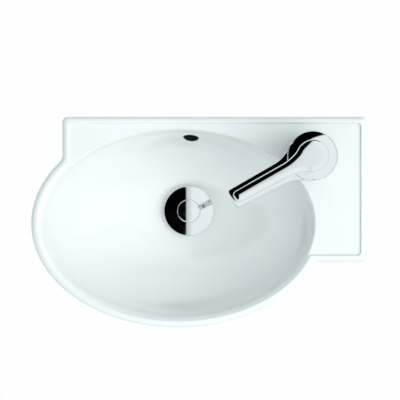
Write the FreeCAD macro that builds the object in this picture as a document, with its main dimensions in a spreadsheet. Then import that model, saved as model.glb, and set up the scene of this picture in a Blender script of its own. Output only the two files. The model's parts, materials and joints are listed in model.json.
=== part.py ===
import FreeCAD, Part
import Sketcher
import math
import os
from types import SimpleNamespace

from FreeCAD import Placement, Rotation, Vector

# A small wall-hung basin of glazed china with a lever mixer and a click waste.
# The origin lies on the wall, midway between the two fixing holes.
# X runs to the right along the wall, Y into the wall and Z up. Sizes are millimetres.

SIZES = (
    # Plan of the china
    ("back_width", 362.8, "straight back edge along the wall"),
    ("oval_length", 349.4, "outside of the oval, side to side"),
    ("oval_breadth", 247.6, "outside of the oval, back to front"),
    ("oval_shift", 43.9, "oval centre, left of the middle of the back edge"),
    ("oval_gap", 3.4, "wall to the back of the oval"),
    ("projection", "=oval_gap + oval_breadth", "wall to the front of the oval"),
    ("ledge_front", 172.8, "wall to the front edge of the tap ledge"),
    ("corner_round", 6.6, "round of the three square corners"),
    ("neck_round", 12.0, "hollow round where the oval leaves the square part"),
    # Section of the china
    ("rim_height", 65.0, "rim top above the fixing holes"),
    ("apron_height", 38.0, "height of the outside band under the rim"),
    ("rim_round", 6.2, "round of the rim's outer edge"),
    ("border_width", 8.0, "raised border round the ledge"),
    ("border_round", 1.2, "round of the border's inner edge"),
    ("ledge_recess", 2.5, "ledge surface below the rim"),
    ("ledge_round", 1.0, "round at the foot of the border"),
    ("recess_corner", 4.0, "corner round of the recessed ledge"),
    ("ledge_plate", 12.0, "china thickness of the ledge"),
    ("china_wall", 11.0, "china thickness of bowl and apron"),
    ("bowl_margin", 12.0, "outside of the oval to the bowl wall"),
    ("lip_width", 4.5, "width of the rounded bowl edge"),
    ("lip_depth", 6.0, "depth of the rounded bowl edge"),
    ("bowl_depth", 106.0, "rim top to the waste seat"),
    ("bowl_flare", 1.5, "power that opens the bowl towards the rim"),
    ("bowl_belly", 0.6, "power that rounds the bowl towards the floor"),
    ("seat_radius", 34.0, "flat seat round the waste"),
    # Wall panel and fixing holes
    ("panel_width", 300.0, "wall panel, side to side"),
    ("panel_drop", 65.0, "fixing holes to the panel's lower edge"),
    ("panel_thick", 14.0, "wall panel thickness"),
    ("panel_round", 20.0, "lower corners of the panel"),
    ("fixing_spacing", 200.0, "between the two fixing holes"),
    ("fixing_radius", 8.0, "fixing hole"),
    # Drain and overflow in the china
    ("drain_left", 31.4, "drain axis, left of the middle of the back edge"),
    ("drain_from_wall", 112.8, "drain axis in front of the wall"),
    ("drain_radius", 23.0, "hole for the waste"),
    ("drain_boss_radius", 36.0, "boss round the waste"),
    ("drain_boss_height", 40.0, "waste seat to the underside of the boss"),
    ("overflow_radius", 8.6, "overflow hole"),
    ("overflow_right", 3.0, "overflow hole, right of the drain axis"),
    ("overflow_depth", 40.0, "rim top to the middle of the overflow hole"),
    ("overflow_round", 3.5, "round of the overflow hole's edge"),
    ("duct_front", 9.0, "china between bowl and overflow duct"),
    ("duct_gap", 7.0, "depth of the overflow duct"),
    ("duct_back", 7.0, "china behind and beside the duct"),
    ("duct_width", 26.0, "width of the overflow duct"),
    ("chamber_radius", 29.0, "ring chamber where the duct meets the waste"),
    # Waste
    ("flange_radius", 31.5, "waste flange"),
    ("flange_thick", 3.0, "waste flange thickness"),
    ("flange_chamfer", 1.5, "bevel of the flange's edge"),
    ("flange_seal_thick", 2.0, "seal under the flange"),
    ("tail_radius", 20.955, "threaded tail of the waste"),
    ("waste_bore", 18.0, "inside of the tail"),
    ("waste_length", 90.0, "tail below the flange"),
    ("trap_end_radius", 20.0, "plain end of the tail, for the trap"),
    ("trap_end_length", 30.0, "length of the plain end"),
    ("funnel_radius", 21.5, "mouth of the waste"),
    ("funnel_depth", 6.0, "depth of the mouth"),
    ("slot_width", 14.0, "overflow slots in the tail"),
    ("slot_height", 6.0, "height of the overflow slots"),
    ("bar_width", 5.0, "cross-bars in the tail"),
    ("hub_radius", 8.0, "hub of the cross-bars"),
    ("hub_height", 5.0, "height of hub and cross-bars"),
    ("hub_depth", 32.0, "flange underside to the top of the hub"),
    ("click_thread", 5.0, "thread of the click cartridge"),
    ("click_radius", 7.0, "click cartridge body"),
    ("click_height", 17.0, "click cartridge above the hub"),
    ("click_floor", 3.0, "closed end of the click cartridge"),
    ("plug_stem_radius", 3.0, "rod of the waste cover"),
    ("plug_stem_length", 34.0, "length of that rod"),
    ("cap_radius", 31.0, "waste cover"),
    ("cap_edge", 2.2, "thickness of the cover at its edge"),
    ("cap_crown", 120.0, "dome radius of the cover"),
    ("cap_gap", 0.6, "cover above the flange when closed"),
    ("cap_boss_radius", 6.0, "boss under the cover"),
    ("cap_boss_height", 6.0, "height of that boss"),
    ("centre_radius", 14.0, "disc let into the cover"),
    ("centre_thick", 2.4, "thickness of that disc at its middle"),
    ("inlay_gap", 0.15, "gap round that disc"),
    ("plug_seal_radius", 20.4, "seal under the cover"),
    ("plug_seal_bore", 14.0, "inside of that seal"),
    ("plug_seal_thick", 1.4, "thickness of that seal"),
    ("tail_seal_radius", 33.0, "seal under the boss"),
    ("tail_seal_thick", 5.0, "thickness of that seal"),
    ("tail_seal_bevel", 2.0, "bevel of that seal"),
    ("slip_washer_thick", 1.5, "washer under the seal"),
    ("back_nut_height", 10.0, "nut on the tail"),
    ("back_nut_radius", 31.0, "corner radius of that nut"),
    # Place of the tap
    ("tap_right", 112.3, "tap axis, right of the middle of the back edge"),
    ("tap_from_wall", 48.3, "tap axis in front of the wall"),
    ("tap_hole_radius", 17.5, "hole in the ledge"),
    ("arm_angle", 208.5, "direction of the spout, from X towards Y, in degrees"),
    # Tap body, heights above the ledge
    ("gasket_thick", 2.0, "gasket under the tap"),
    ("gasket_radius", 24.0, "outside of that gasket"),
    ("base_radius", 24.5, "foot of the tap"),
    ("head_radius", 29.0, "head of the tap and its dome"),
    ("flare_height", 40.0, "height where the column reaches the head"),
    ("pivot_height", 46.0, "height of the lever's pivot, centre of the dome"),
    ("joint_height", 73.0, "joint between body and dome"),
    ("body_bore", 18.5, "chamber for the cartridge"),
    ("bore_floor", 19.0, "floor of that chamber"),
    ("inlet_radius", 4.5, "threaded inlets"),
    ("inlet_depth", 12.0, "depth of the inlets"),
    ("inlet_spacing", 18.0, "between the inlets"),
    ("inlet_forward", 5.0, "inlets in front of the tap axis"),
    ("port_radius", 2.2, "water ports"),
    # Spout
    ("spout_reach", 106.5, "tap axis to the spout's tip"),
    ("spout_root_half", 15.0, "half width of the spout at the head"),
    ("spout_tip_half", 12.2, "half width of the spout at its tip"),
    ("spout_blend", 26.0, "length of the flare in front of the head"),
    ("spout_flare", 14.0, "widening of the spout towards the tap axis"),
    ("spout_sink", 6.0, "drop of the spout's root inside the head"),
    ("spout_rise", 3.0, "spout's upper side above the joint of the dome"),
    ("spout_tip_round", 3.5, "round of the tip"),
    ("spout_tip_top", 66.0, "height of the tip's upper side"),
    ("spout_low", 49.0, "height of the spout's level underside"),
    ("spout_low_length", 26.0, "length of that underside"),
    ("spout_root_low", 30.0, "height of the spout's underside at the column"),
    ("spout_edge_round", 4.0, "round of the spout's lower edges"),
    ("spout_arch", 0.38, "rise of the spout's arched upper side, as a share of its half width"),
    ("waterway_radius", 4.5, "channel in the spout"),
    ("waterway_start", 36.0, "height of the channel at the cartridge"),
    ("waterway_end", 60.0, "height of the channel at the outlet"),
    # Outlet
    ("outlet_from_tip", 12.8, "outlet axis behind the tip"),
    ("outlet_radius", 9.8, "bore for the aerator"),
    ("outlet_depth", 10.0, "depth of that bore"),
    ("outlet_face", 48.0, "height of the flat face round the outlet"),
    ("outlet_boss_radius", 11.2, "outside of that face"),
    ("aerator_lip", 2.5, "visible lip of the aerator"),
    ("aerator_lip_radius", 10.8, "outside of that lip"),
    ("aerator_wall", 1.8, "wall of the aerator sleeve"),
    ("aerator_seal_thick", 2.0, "seal above the aerator"),
    ("aerator_insert_height", 6.0, "mesh insert of the aerator"),
    ("aerator_insert_step", 1.0, "mesh insert above the lip's lower face"),
    # Dome cap
    ("dome_radius", 40.0, "round of the shallow dome"),
    ("dome_bore", 17.0, "inside of the dome cap"),
    ("dome_wall", 3.0, "crown thickness of the dome cap"),
    ("dome_opening", 16.0, "opening for the lever"),
    ("spigot_length", 4.0, "locating ring below the dome cap"),
    # Cartridge, stacked from the chamber's floor
    ("port_seal_thick", 2.0, "seal under the cartridge"),
    ("housing_radius", 17.4, "cartridge housing"),
    ("housing_cavity", 15.0, "inside of the housing"),
    ("housing_floor", 3.0, "floor of the housing"),
    ("housing_top", 3.0, "top plate of the housing"),
    ("window_width", 10.0, "outlet window of the housing"),
    ("disc_seal_thick", 2.0, "seal under the fixed disc"),
    ("fixed_disc_thick", 3.0, "fixed ceramic disc"),
    ("fixed_disc_radius", 14.5, "fixed ceramic disc"),
    ("moving_disc_thick", 3.0, "moving ceramic disc"),
    ("moving_disc_radius", 10.0, "moving ceramic disc and its carrier"),
    ("carrier_thick", 4.4, "carrier of the moving disc"),
    ("turret_flange_thick", 3.4, "flange of the turret"),
    ("turret_flange_radius", 14.0, "flange of the turret"),
    ("turret_radius", 11.2, "turning turret"),
    ("turret_slot", 11.4, "slot for the stem"),
    ("neck_wall", 2.25, "wall of the housing's neck"),
    ("neck_rise", 3.0, "neck and turret above the pivot"),
    ("cartridge_nut_bore", 14.0, "inside of the cartridge nut"),
    ("cartridge_nut_height", 9.0, "cartridge nut"),
    ("key_width", 4.0, "key notches of the cartridge nut"),
    ("key_depth", 3.0, "depth of the key notches"),
    # Stem and lever
    ("lean", 12.5, "stem leans this far towards the spout when closed, in degrees"),
    ("stem_side", 8.0, "square of the stem"),
    ("stem_width", 8.6, "barrel of the stem along its pin"),
    ("stem_barrel", 5.0, "radius of that barrel"),
    ("lower_arm", 11.0, "pivot to the ball of the stem"),
    ("ball_radius", 2.2, "ball of the stem"),
    ("ball_gap", 0.3, "ball in its socket"),
    ("lower_rod", 1.8, "rod above the ball"),
    ("pin_radius", 1.75, "pin of the stem"),
    ("pin_length", 20.0, "length of that pin"),
    ("lever_gap", 0.7, "lever above the dome"),
    ("lever_thick", 5.3, "lever over the middle of the dome"),
    ("lever_fall", 0.5, "fall of the lever's upper side to its tip"),
    ("lever_disc", 20.5, "round end of the lever"),
    ("lever_root_half", 8.8, "half width of the lever's arm at the head"),
    ("lever_tip_half", 7.0, "half width of the lever's arm at its tip"),
    ("lever_blend", 20.0, "hollow round between disc and arm"),
    ("lever_reach", 103.5, "tap axis to the lever's tip"),
    ("lever_tip_round", 5.0, "corners of the lever's tip"),
    ("arm_root_thick", 5.3, "arm thickness at the head"),
    ("arm_tip_thick", 4.0, "arm thickness at the tip"),
    ("lever_boss", 6.5, "boss round the stem"),
    ("lever_boss_length", 2.5, "boss below the lever"),
    ("socket_roof", 1.9, "metal above the stem"),
    ("screw_radius", 2.0, "grub screw of the lever"),
    ("screw_length", 5.0, "length of that screw"),
    ("screw_drop", 2.2, "screw axis below the end of the stem"),
    ("screw_access", 1.5, "hole that leads to the screw"),
    # Fixing of the tap under the ledge
    ("stud_radius", 4.0, "stud of the tap"),
    ("stud_back", 9.0, "stud behind the tap axis"),
    ("stud_depth", 12.0, "stud inside the tap"),
    ("stud_drop", 45.0, "stud below the ledge surface"),
    ("clamp_radius", 25.0, "half-round clamp plate"),
    ("clamp_clear", 2.0, "clamp plate behind the tap axis"),
    ("clamp_gasket_thick", 3.0, "rubber above the clamp plate"),
    ("clamp_thick", 2.5, "clamp plate"),
    ("stud_nut_height", 7.0, "nut on the stud"),
    ("stud_nut_radius", 7.5, "corner radius of that nut"),
    # Clearances
    ("fit_gap", 0.05, "radial clearance of pieces that are screwed or pushed together"),
    ("running_gap", 0.08, "radial clearance of pieces that turn or slide"),
    ("face_gap", 0.05, "clearance between flat faces that slide"),
)

UP = Vector(0, 0, 1)
doc = FreeCAD.newDocument("hand_rinse_basin")
sheet = doc.addObject("Spreadsheet::Sheet", "Sizes")
nodes = []


def fill_sheet():
    """Write each size into the sheet, under its own alias."""
    for row, (alias, number, meaning) in enumerate(SIZES, start=1):
        sheet.set(f"A{row}", meaning)
        sheet.set(f"B{row}", str(number))
        sheet.setAlias(f"B{row}", alias)
    doc.recompute()


class Size:
    """A size of the sheet, or a sum made of such sizes: its number and the formula behind it."""

    def __init__(self, number, formula):
        self.number = number
        self.formula = formula

    def __float__(self):
        return float(self.number)

    def joined(self, sign, other, number):
        formula = other.formula if isinstance(other, Size) else str(other)
        return Size(number, f"({self.formula} {sign} {formula})")

    def __add__(self, other):
        return self.joined("+", other, float(self) + float(other))

    def __sub__(self, other):
        return self.joined("-", other, float(self) - float(other))

    def __mul__(self, other):
        return self.joined("*", other, float(self) * float(other))

    def __truediv__(self, other):
        return self.joined("/", other, float(self) / float(other))

    def __neg__(self):
        return Size(-float(self), f"(0 - {self.formula})")

    def root(self):
        return Size(math.sqrt(float(self)), f"sqrt({self.formula})")


fill_sheet()
mm = SimpleNamespace(**{alias: float(sheet.get(alias)) for alias, _, _ in SIZES})
size = SimpleNamespace(**{alias: Size(float(sheet.get(alias)), "Sizes." + alias) for alias, _, _ in SIZES})


# Helpers for the document's objects


def bind(thing, prop, value):
    """Tie one property of an object to a size of the sheet."""
    if isinstance(value, Size):
        thing.setExpression(prop, value.formula)
    else:
        thing.setExpression(prop, str(float(value)))


TURNS = {"z": Rotation(), "y": Rotation(Vector(1, 0, 0), -90)}


def move(thing, at, along="z"):
    """Place an object with its own Z axis along Z or Y."""
    thing.Placement = Placement(Vector(*[float(value) for value in at]), TURNS[along])
    for axis, value in zip("xyz", at):
        bind(thing, f"Placement.Base.{axis}", value)
    return thing


def cylinder(name, radius, height, at=(0, 0, 0), along="z"):
    thing = doc.addObject("Part::Cylinder", name)
    bind(thing, "Radius", radius)
    bind(thing, "Height", height)
    return move(thing, at, along)


def sphere(name, radius, height):
    thing = doc.addObject("Part::Sphere", name)
    bind(thing, "Radius", radius)
    return move(thing, (0, 0, height))


def block(name, length, width, height, at):
    """Box whose place is the middle of its underside."""
    thing = doc.addObject("Part::Box", name)
    bind(thing, "Length", length)
    bind(thing, "Width", width)
    bind(thing, "Height", height)
    corner_x = -length / 2 + at[0]
    corner_y = -width / 2 + at[1]
    return move(thing, (corner_x, corner_y, at[2]))


def hexagon(name, corner_radius, height):
    thing = doc.addObject("Part::Prism", name)
    thing.Polygon = 6
    bind(thing, "Circumradius", corner_radius)
    bind(thing, "Height", height)
    return thing


def fuse(name, *things):
    result = doc.addObject("Part::MultiFuse", name)
    result.Shapes = list(things)
    result.Refine = True
    return result


def cut(name, base, *tools):
    result = doc.addObject("Part::Cut", name)
    result.Base = base
    result.Tool = tools[0] if len(tools) == 1 else fuse(name + "_tools", *tools)
    return result


def common(name, first, second):
    result = doc.addObject("Part::Common", name)
    result.Base = first
    result.Tool = second
    return result


def made(name, shape):
    """Object with a free form, which neither primitives nor sketches describe."""
    thing = doc.addObject("Part::Feature", name)
    thing.Shape = shape
    return thing


def turned(name, profile):
    """Body of revolution about its own Z axis; the profile lists (radius, height) corners."""
    body = doc.addObject("PartDesign::Body", name)
    sketch = body.newObject("Sketcher::SketchObject", name + "_profile")
    planes = {plane.Role: plane for plane in body.Origin.OriginFeatures}
    sketch.AttachmentSupport = [(planes["XZ_Plane"], "")]
    sketch.MapMode = "FlatFace"
    corners = [Vector(float(radius), float(height), 0) for radius, height in profile]
    count = len(corners)
    for index, corner in enumerate(corners):
        sketch.addGeometry(Part.LineSegment(corner, corners[(index + 1) % count]))
    for index in range(count):
        sketch.addConstraint(Sketcher.Constraint("Coincident", index, 2, (index + 1) % count, 1))
    for index, (radius, height) in enumerate(profile):
        hold(sketch, index, "DistanceX", -2, radius)
        hold(sketch, index, "DistanceY", -1, height)
    turn = body.newObject("PartDesign::Revolution", name + "_turn")
    turn.Profile = sketch
    turn.ReferenceAxis = (sketch, ["V_Axis"])
    turn.Angle = 360
    body.Tip = turn
    return body


def hold(sketch, line, direction, axis, value):
    """Fix one coordinate of a line's first corner; zero lies on the sketch's axis."""
    if not isinstance(value, Size):
        sketch.addConstraint(Sketcher.Constraint("PointOnObject", line, 1, axis))
        return
    index = sketch.addConstraint(Sketcher.Constraint(direction, -1, 1, line, 1, float(value)))
    sketch.setExpression(f"Constraints[{index}]", value.formula)


def ring(name, inner, outer, height):
    return turned(name, [(inner, 0), (outer, 0), (outer, height), (inner, height)])


def settle(thing, frame, lift=0):
    """Put a finished piece into the frame that it was drawn in and keep it as a sub-part."""
    thing.Placement = Placement(Vector(), Rotation(UP, float(frame.turn)))
    bind(thing, "Placement.Base.x", frame.x)
    bind(thing, "Placement.Base.y", frame.y)
    bind(thing, "Placement.Base.z", frame.z + lift)
    if isinstance(frame.turn, Size):
        bind(thing, "Placement.Rotation.Angle", frame.turn)
    nodes.append(thing)
    return thing


WALL = SimpleNamespace(x=0, y=0, z=Size(0.0, "0"), turn=0)
DRAIN = SimpleNamespace(
    x=-size.drain_left, y=-size.drain_from_wall, z=size.rim_height - size.bowl_depth, turn=0)
TAP = SimpleNamespace(
    x=size.tap_right, y=-size.tap_from_wall, z=size.rim_height - size.ledge_recess, turn=size.arm_angle)


def along_spout(forward):
    """The tap's frame, moved along the spout."""
    cosine = Size(math.cos(math.radians(mm.arm_angle)), "cos(Sizes.arm_angle * 1deg)")
    sine = Size(math.sin(math.radians(mm.arm_angle)), "sin(Sizes.arm_angle * 1deg)")
    return SimpleNamespace(x=TAP.x + cosine * forward, y=TAP.y + sine * forward, z=TAP.z, turn=TAP.turn)


# The china

OVAL_CENTRE = Vector(-mm.oval_shift, -mm.oval_gap - mm.oval_breadth / 2, 0)
DRAIN_CENTRE = Vector(-mm.drain_left, -mm.drain_from_wall, 0)
LIP_STEPS = (-0.4, 0.0, 0.35, 0.7, 1.0)
BOWL_STEPS = (0.17, 0.3, 0.45, 0.6, 0.74, 0.86, 0.94, 0.985, 1.0)
NEAR = 0.01


def oval_wire(centre, half_length, half_breadth, height):
    middle = Vector(centre.x, centre.y, height)
    return Part.Wire(Part.Ellipse(middle, half_length, half_breadth).toShape())


def upright_edges(solid):
    """The vertical edges of a solid."""
    return [edge for edge in solid.Edges
            if edge.BoundBox.XLength < NEAR and edge.BoundBox.YLength < NEAR]


def level_edges(solid, height):
    """The edges that lie at one height."""
    return [edge for edge in solid.Edges
            if abs(edge.BoundBox.ZMin - height) < NEAR and abs(edge.BoundBox.ZMax - height) < NEAR]


def plan_prism(inset, oval_inset, corner, neck, low, high):
    """Upright solid with the basin's plan, drawn in by an inset: oval, back strip and tap ledge."""
    rise = Vector(0, 0, high - low)
    half = mm.back_width / 2 - inset
    front = inset - mm.ledge_front
    oval = oval_wire(OVAL_CENTRE, mm.oval_length / 2 - oval_inset, mm.oval_breadth / 2 - oval_inset, low)
    oval = Part.Face(oval).extrude(rise)
    strip = Part.makeBox(2 * half, -inset - OVAL_CENTRE.y, rise.z, Vector(-half, OVAL_CENTRE.y, low))
    ledge = Part.makeBox(half - OVAL_CENTRE.x, -inset - front, rise.z, Vector(OVAL_CENTRE.x, front, low))
    prism = oval.fuse([strip, ledge]).removeSplitter().Solids[0]

    def is_corner(edge):
        place = edge.CenterOfMass
        at_side = abs(abs(place.x) - half) < NEAR
        at_end = abs(place.y + inset) < NEAR or abs(place.y - front) < NEAR
        return at_side and at_end

    corners = [edge for edge in upright_edges(prism) if is_corner(edge)]
    prism = prism.makeFillet(corner, corners)
    necks = [edge for edge in upright_edges(prism)
             if abs(edge.CenterOfMass.x + half) < NEAR and edge.CenterOfMass.y < -inset - corner - NEAR
             or abs(edge.CenterOfMass.y - front) < NEAR and edge.CenterOfMass.x < half - corner - NEAR]
    return prism.makeFillet(neck, necks)


def bowl_wire(depth, grow, widen):
    """Oval of the bowl at a depth below the rim, in a layer of china and with a wider edge."""
    step = max(depth, 0) / (mm.bowl_depth + grow)
    open_share = (1 - min(step, 1) ** mm.bowl_flare) ** mm.bowl_belly
    centre = DRAIN_CENTRE + (OVAL_CENTRE - DRAIN_CENTRE) * open_share
    half_length = mm.oval_length / 2 - mm.bowl_margin - mm.seat_radius
    half_breadth = mm.oval_breadth / 2 - mm.bowl_margin - mm.seat_radius
    added = mm.seat_radius + grow + widen
    return oval_wire(centre, added + half_length * open_share, added + half_breadth * open_share,
                     mm.rim_height - depth)


def bowl_loft(grow, lip=0):
    """The bowl's inside as a solid with a rounded edge, or that form in a layer of china."""
    wires = []
    for share in LIP_STEPS:
        wires.append(bowl_wire(share * mm.lip_depth, grow, lip * (1 - share) ** 2))
    for step in BOWL_STEPS:
        wires.append(bowl_wire(step * (mm.bowl_depth + grow), grow, 0))
    return Part.makeLoft(wires, True, False)


def wall_panel():
    """Upright panel against the wall, with its two lower corners rounded."""
    height = mm.rim_height - mm.ledge_recess - mm.ledge_plate + mm.panel_drop
    start = Vector(-mm.panel_width / 2, -mm.panel_thick, -mm.panel_drop)
    panel = Part.makeBox(mm.panel_width, mm.panel_thick, height, start)
    lower = [edge for edge in panel.Edges
             if edge.BoundBox.YLength > mm.panel_thick / 2 and edge.BoundBox.ZMax < NEAR - mm.panel_drop]
    lower = [edge for edge in lower if edge.BoundBox.XLength < NEAR]
    return panel.makeFillet(mm.panel_round, lower)


def duct_slice(inner, outer, width, top):
    """The part of a bowl layer that lies behind the drain, cut to the duct's width."""
    layer = bowl_loft(outer)
    if inner:
        layer = layer.cut(bowl_loft(inner))
    low = mm.rim_height - mm.bowl_depth - mm.drain_boss_height
    keep = Part.makeBox(width, mm.drain_from_wall, top - low,
                        Vector(DRAIN_CENTRE.x - width / 2, DRAIN_CENTRE.y, low))
    return layer.common(keep)


def round_overflow(china):
    """Round the edge of the overflow hole on the bowl's side."""
    faces = [face for face in china.Faces if isinstance(face.Surface, Part.Cylinder)
             and abs(face.Surface.Radius - mm.overflow_radius) < NEAR and abs(face.Surface.Axis.y) > 1 - NEAR]
    curved = [edge for face in faces for edge in face.Edges if not isinstance(edge.Curve, Part.Line)]
    middle = sum(edge.CenterOfMass.y for edge in curved) / len(curved)
    return china.makeFillet(mm.overflow_round, [edge for edge in curved if edge.CenterOfMass.y < middle])


def china_shape():
    """The whole casting: rim, ledge, bowl, wall panel, drain boss and overflow duct."""
    rim = mm.rim_height
    ledge = rim - mm.ledge_recess
    seat = rim - mm.bowl_depth
    foot = rim - mm.apron_height
    plate = ledge - mm.ledge_plate
    boss_low = seat - mm.drain_boss_height
    band = plan_prism(0, 0, mm.corner_round, mm.neck_round, foot, rim)
    band = band.makeFillet(mm.rim_round, level_edges(band, rim))
    recess = plan_prism(mm.border_width, mm.bowl_margin + mm.ledge_recess, mm.recess_corner,
                        mm.neck_round + mm.border_width, ledge, rim + mm.rim_round)
    recess = recess.makeFillet(mm.ledge_round, level_edges(recess, ledge))
    band = band.cut(recess).Solids[0]
    top = [face for face in band.Faces if isinstance(face.Surface, Part.Plane)
           and abs(face.BoundBox.ZMin - rim) < NEAR and face.BoundBox.ZLength < NEAR]
    inner = [edge for face in top for wire in face.Wires if not wire.isSame(face.OuterWire)
             for edge in wire.Edges]
    band = band.makeFillet(mm.border_round, inner)
    hollow = plan_prism(mm.china_wall, mm.china_wall, mm.corner_round, mm.neck_round + mm.china_wall,
                        foot - mm.rim_round, plate)
    below_rim = Part.makeBox(2 * mm.oval_length, 2 * mm.projection, 2 * mm.bowl_depth,
                             Vector(-mm.oval_length - mm.oval_shift, -2 * mm.projection,
                                    ledge - mm.rim_round - 2 * mm.bowl_depth))
    shell = bowl_loft(mm.china_wall).common(below_rim)
    boss = Part.makeCylinder(mm.drain_boss_radius, mm.drain_boss_height, DRAIN_CENTRE + UP * boss_low)
    duct_depth = mm.duct_front + mm.duct_gap
    jacket = duct_slice(0, duct_depth + mm.duct_back, mm.duct_width + 2 * mm.duct_back, plate)
    china = band.cut(hollow).fuse([shell, wall_panel(), boss, jacket])

    overflow = rim - mm.overflow_depth
    duct = duct_slice(mm.duct_front, duct_depth, mm.duct_width, overflow + mm.overflow_radius)
    chamber = Part.makeCylinder(mm.chamber_radius, mm.duct_gap, DRAIN_CENTRE + UP * (seat - duct_depth))
    drain = Part.makeCylinder(mm.drain_radius, 2 * mm.drain_boss_height,
                              DRAIN_CENTRE + UP * (boss_low - NEAR))
    hole = Part.makeCylinder(mm.overflow_radius, mm.drain_from_wall - mm.duct_back - mm.duct_gap / 2,
                             DRAIN_CENTRE + Vector(mm.overflow_right, 0, overflow), Vector(0, 1, 0))
    tap_hole = Part.makeCylinder(mm.tap_hole_radius, mm.rim_height,
                                 Vector(mm.tap_right, -mm.tap_from_wall, foot))
    fixings = [Part.makeCylinder(mm.fixing_radius, 2 * mm.panel_thick,
                                 Vector(side * mm.fixing_spacing / 2, mm.panel_thick / 2, 0),
                                 Vector(0, -1, 0)) for side in (-1, 1)]
    china = china.cut(bowl_loft(0, mm.lip_width)).cut([duct, chamber, drain, hole, tap_hole] + fixings)
    return round_overflow(china.removeSplitter().Solids[0])


def make_china():
    settle(made("basin", china_shape()), WALL)


# The waste, drawn from its seat on the china


def make_waste_body():
    flange_top = size.waste_length + size.flange_thick
    body = turned("waste_tube", [
        (size.waste_bore, 0),
        (size.trap_end_radius, 0),
        (size.trap_end_radius, size.trap_end_length),
        (size.tail_radius, size.trap_end_length),
        (size.tail_radius, size.waste_length),
        (size.flange_radius, size.waste_length),
        (size.flange_radius, flange_top - size.flange_chamfer),
        (size.flange_radius - size.flange_chamfer, flange_top),
        (size.funnel_radius, flange_top),
        (size.waste_bore, flange_top - size.funnel_depth),
    ])
    hub_low = size.waste_length - size.hub_depth - size.hub_height
    span = size.waste_bore + size.tail_radius
    bars = [block("waste_bar_x", span, size.bar_width, size.hub_height, (0, 0, hub_low)),
            block("waste_bar_y", size.bar_width, span, size.hub_height, (0, 0, hub_low))]
    hub = cylinder("waste_hub", size.hub_radius, size.hub_height, (0, 0, hub_low))
    slot_low = (size.waste_length - size.flange_seal_thick - size.duct_front
                - size.duct_gap / 2 - size.slot_height / 2)
    slots = block("waste_slots", size.slot_width, size.flange_radius * 2, size.slot_height, (0, 0, slot_low))
    hub_hole = cylinder("waste_hub_hole", size.click_thread, size.hub_height, (0, 0, hub_low))
    whole = fuse("waste_whole", body, hub, *bars)
    settle(cut("waste_body", whole, slots, hub_hole), DRAIN, size.flange_seal_thick - size.waste_length)


def make_waste_seals():
    outer = size.flange_radius - size.flange_chamfer
    settle(ring("flange_seal", size.drain_radius + size.flange_chamfer, outer, size.flange_seal_thick), DRAIN)
    inner = size.tail_radius + size.fit_gap
    settle(turned("tail_seal", [
        (inner, 0),
        (size.tail_seal_radius - size.tail_seal_bevel, 0),
        (size.tail_seal_radius, size.tail_seal_bevel),
        (size.tail_seal_radius, size.tail_seal_thick),
        (inner, size.tail_seal_thick),
    ]), DRAIN, -size.drain_boss_height - size.tail_seal_thick)
    washer_low = -size.drain_boss_height - size.tail_seal_thick - size.slip_washer_thick
    settle(ring("slip_washer", inner, size.tail_seal_radius - size.tail_seal_bevel, size.slip_washer_thick),
           DRAIN, washer_low)
    nut = hexagon("back_nut_hexagon", size.back_nut_radius, size.back_nut_height)
    hole = cylinder("back_nut_hole", inner, size.back_nut_height)
    settle(cut("back_nut", nut, hole), DRAIN, washer_low - size.back_nut_height)


def make_click_cartridge():
    shoulder = size.hub_height
    top = shoulder + size.click_height
    bore = size.plug_stem_radius + size.running_gap
    thread = size.click_thread - size.fit_gap
    settle(turned("click_cartridge", [
        (0, 0),
        (thread, 0),
        (thread, shoulder),
        (size.click_radius, shoulder),
        (size.click_radius, top),
        (bore, top),
        (bore, size.click_floor),
        (0, size.click_floor),
    ]), DRAIN, size.flange_seal_thick - size.hub_depth - size.hub_height)


def make_plug():
    """The waste cover, which rises and drops on its rod."""
    under = size.flange_seal_thick + size.flange_thick + size.cap_gap
    crown_drop = (size.cap_crown * size.cap_crown - size.cap_radius * size.cap_radius).root()
    crown_centre = under + size.cap_edge - crown_drop
    crown_top = crown_centre + size.cap_crown
    inlay_floor = crown_top - size.centre_thick
    boss_low = under - size.cap_boss_height

    def domed(name, radius, low):
        core = cylinder(name + "_core", radius, size.cap_radius, (0, 0, low))
        return common(name, sphere(name + "_crown", size.cap_crown, crown_centre), core)

    boss = cylinder("plug_cap_boss", size.cap_boss_radius, inlay_floor - boss_low, (0, 0, boss_low))
    inlay = cylinder("plug_cap_inlay", size.centre_radius + size.inlay_gap, size.cap_radius,
                     (0, 0, inlay_floor))
    rod_hole = cylinder("plug_cap_hole", size.plug_stem_radius + size.fit_gap, size.cap_boss_height,
                        (0, 0, boss_low))
    whole = fuse("plug_cap_whole", domed("plug_cap_dome", size.cap_radius, under), boss)
    settle(cut("plug_cap", whole, inlay, rod_hole), DRAIN)
    settle(domed("plug_centre_disc", size.centre_radius, inlay_floor), DRAIN)
    settle(cylinder("plug_stem", size.plug_stem_radius, size.plug_stem_length), DRAIN,
           under - size.plug_stem_length)
    settle(ring("plug_seal", size.plug_seal_bore, size.plug_seal_radius, size.plug_seal_thick), DRAIN,
           under - size.plug_seal_thick)


# The tap, drawn from the ledge's surface, with the spout along X


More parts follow.
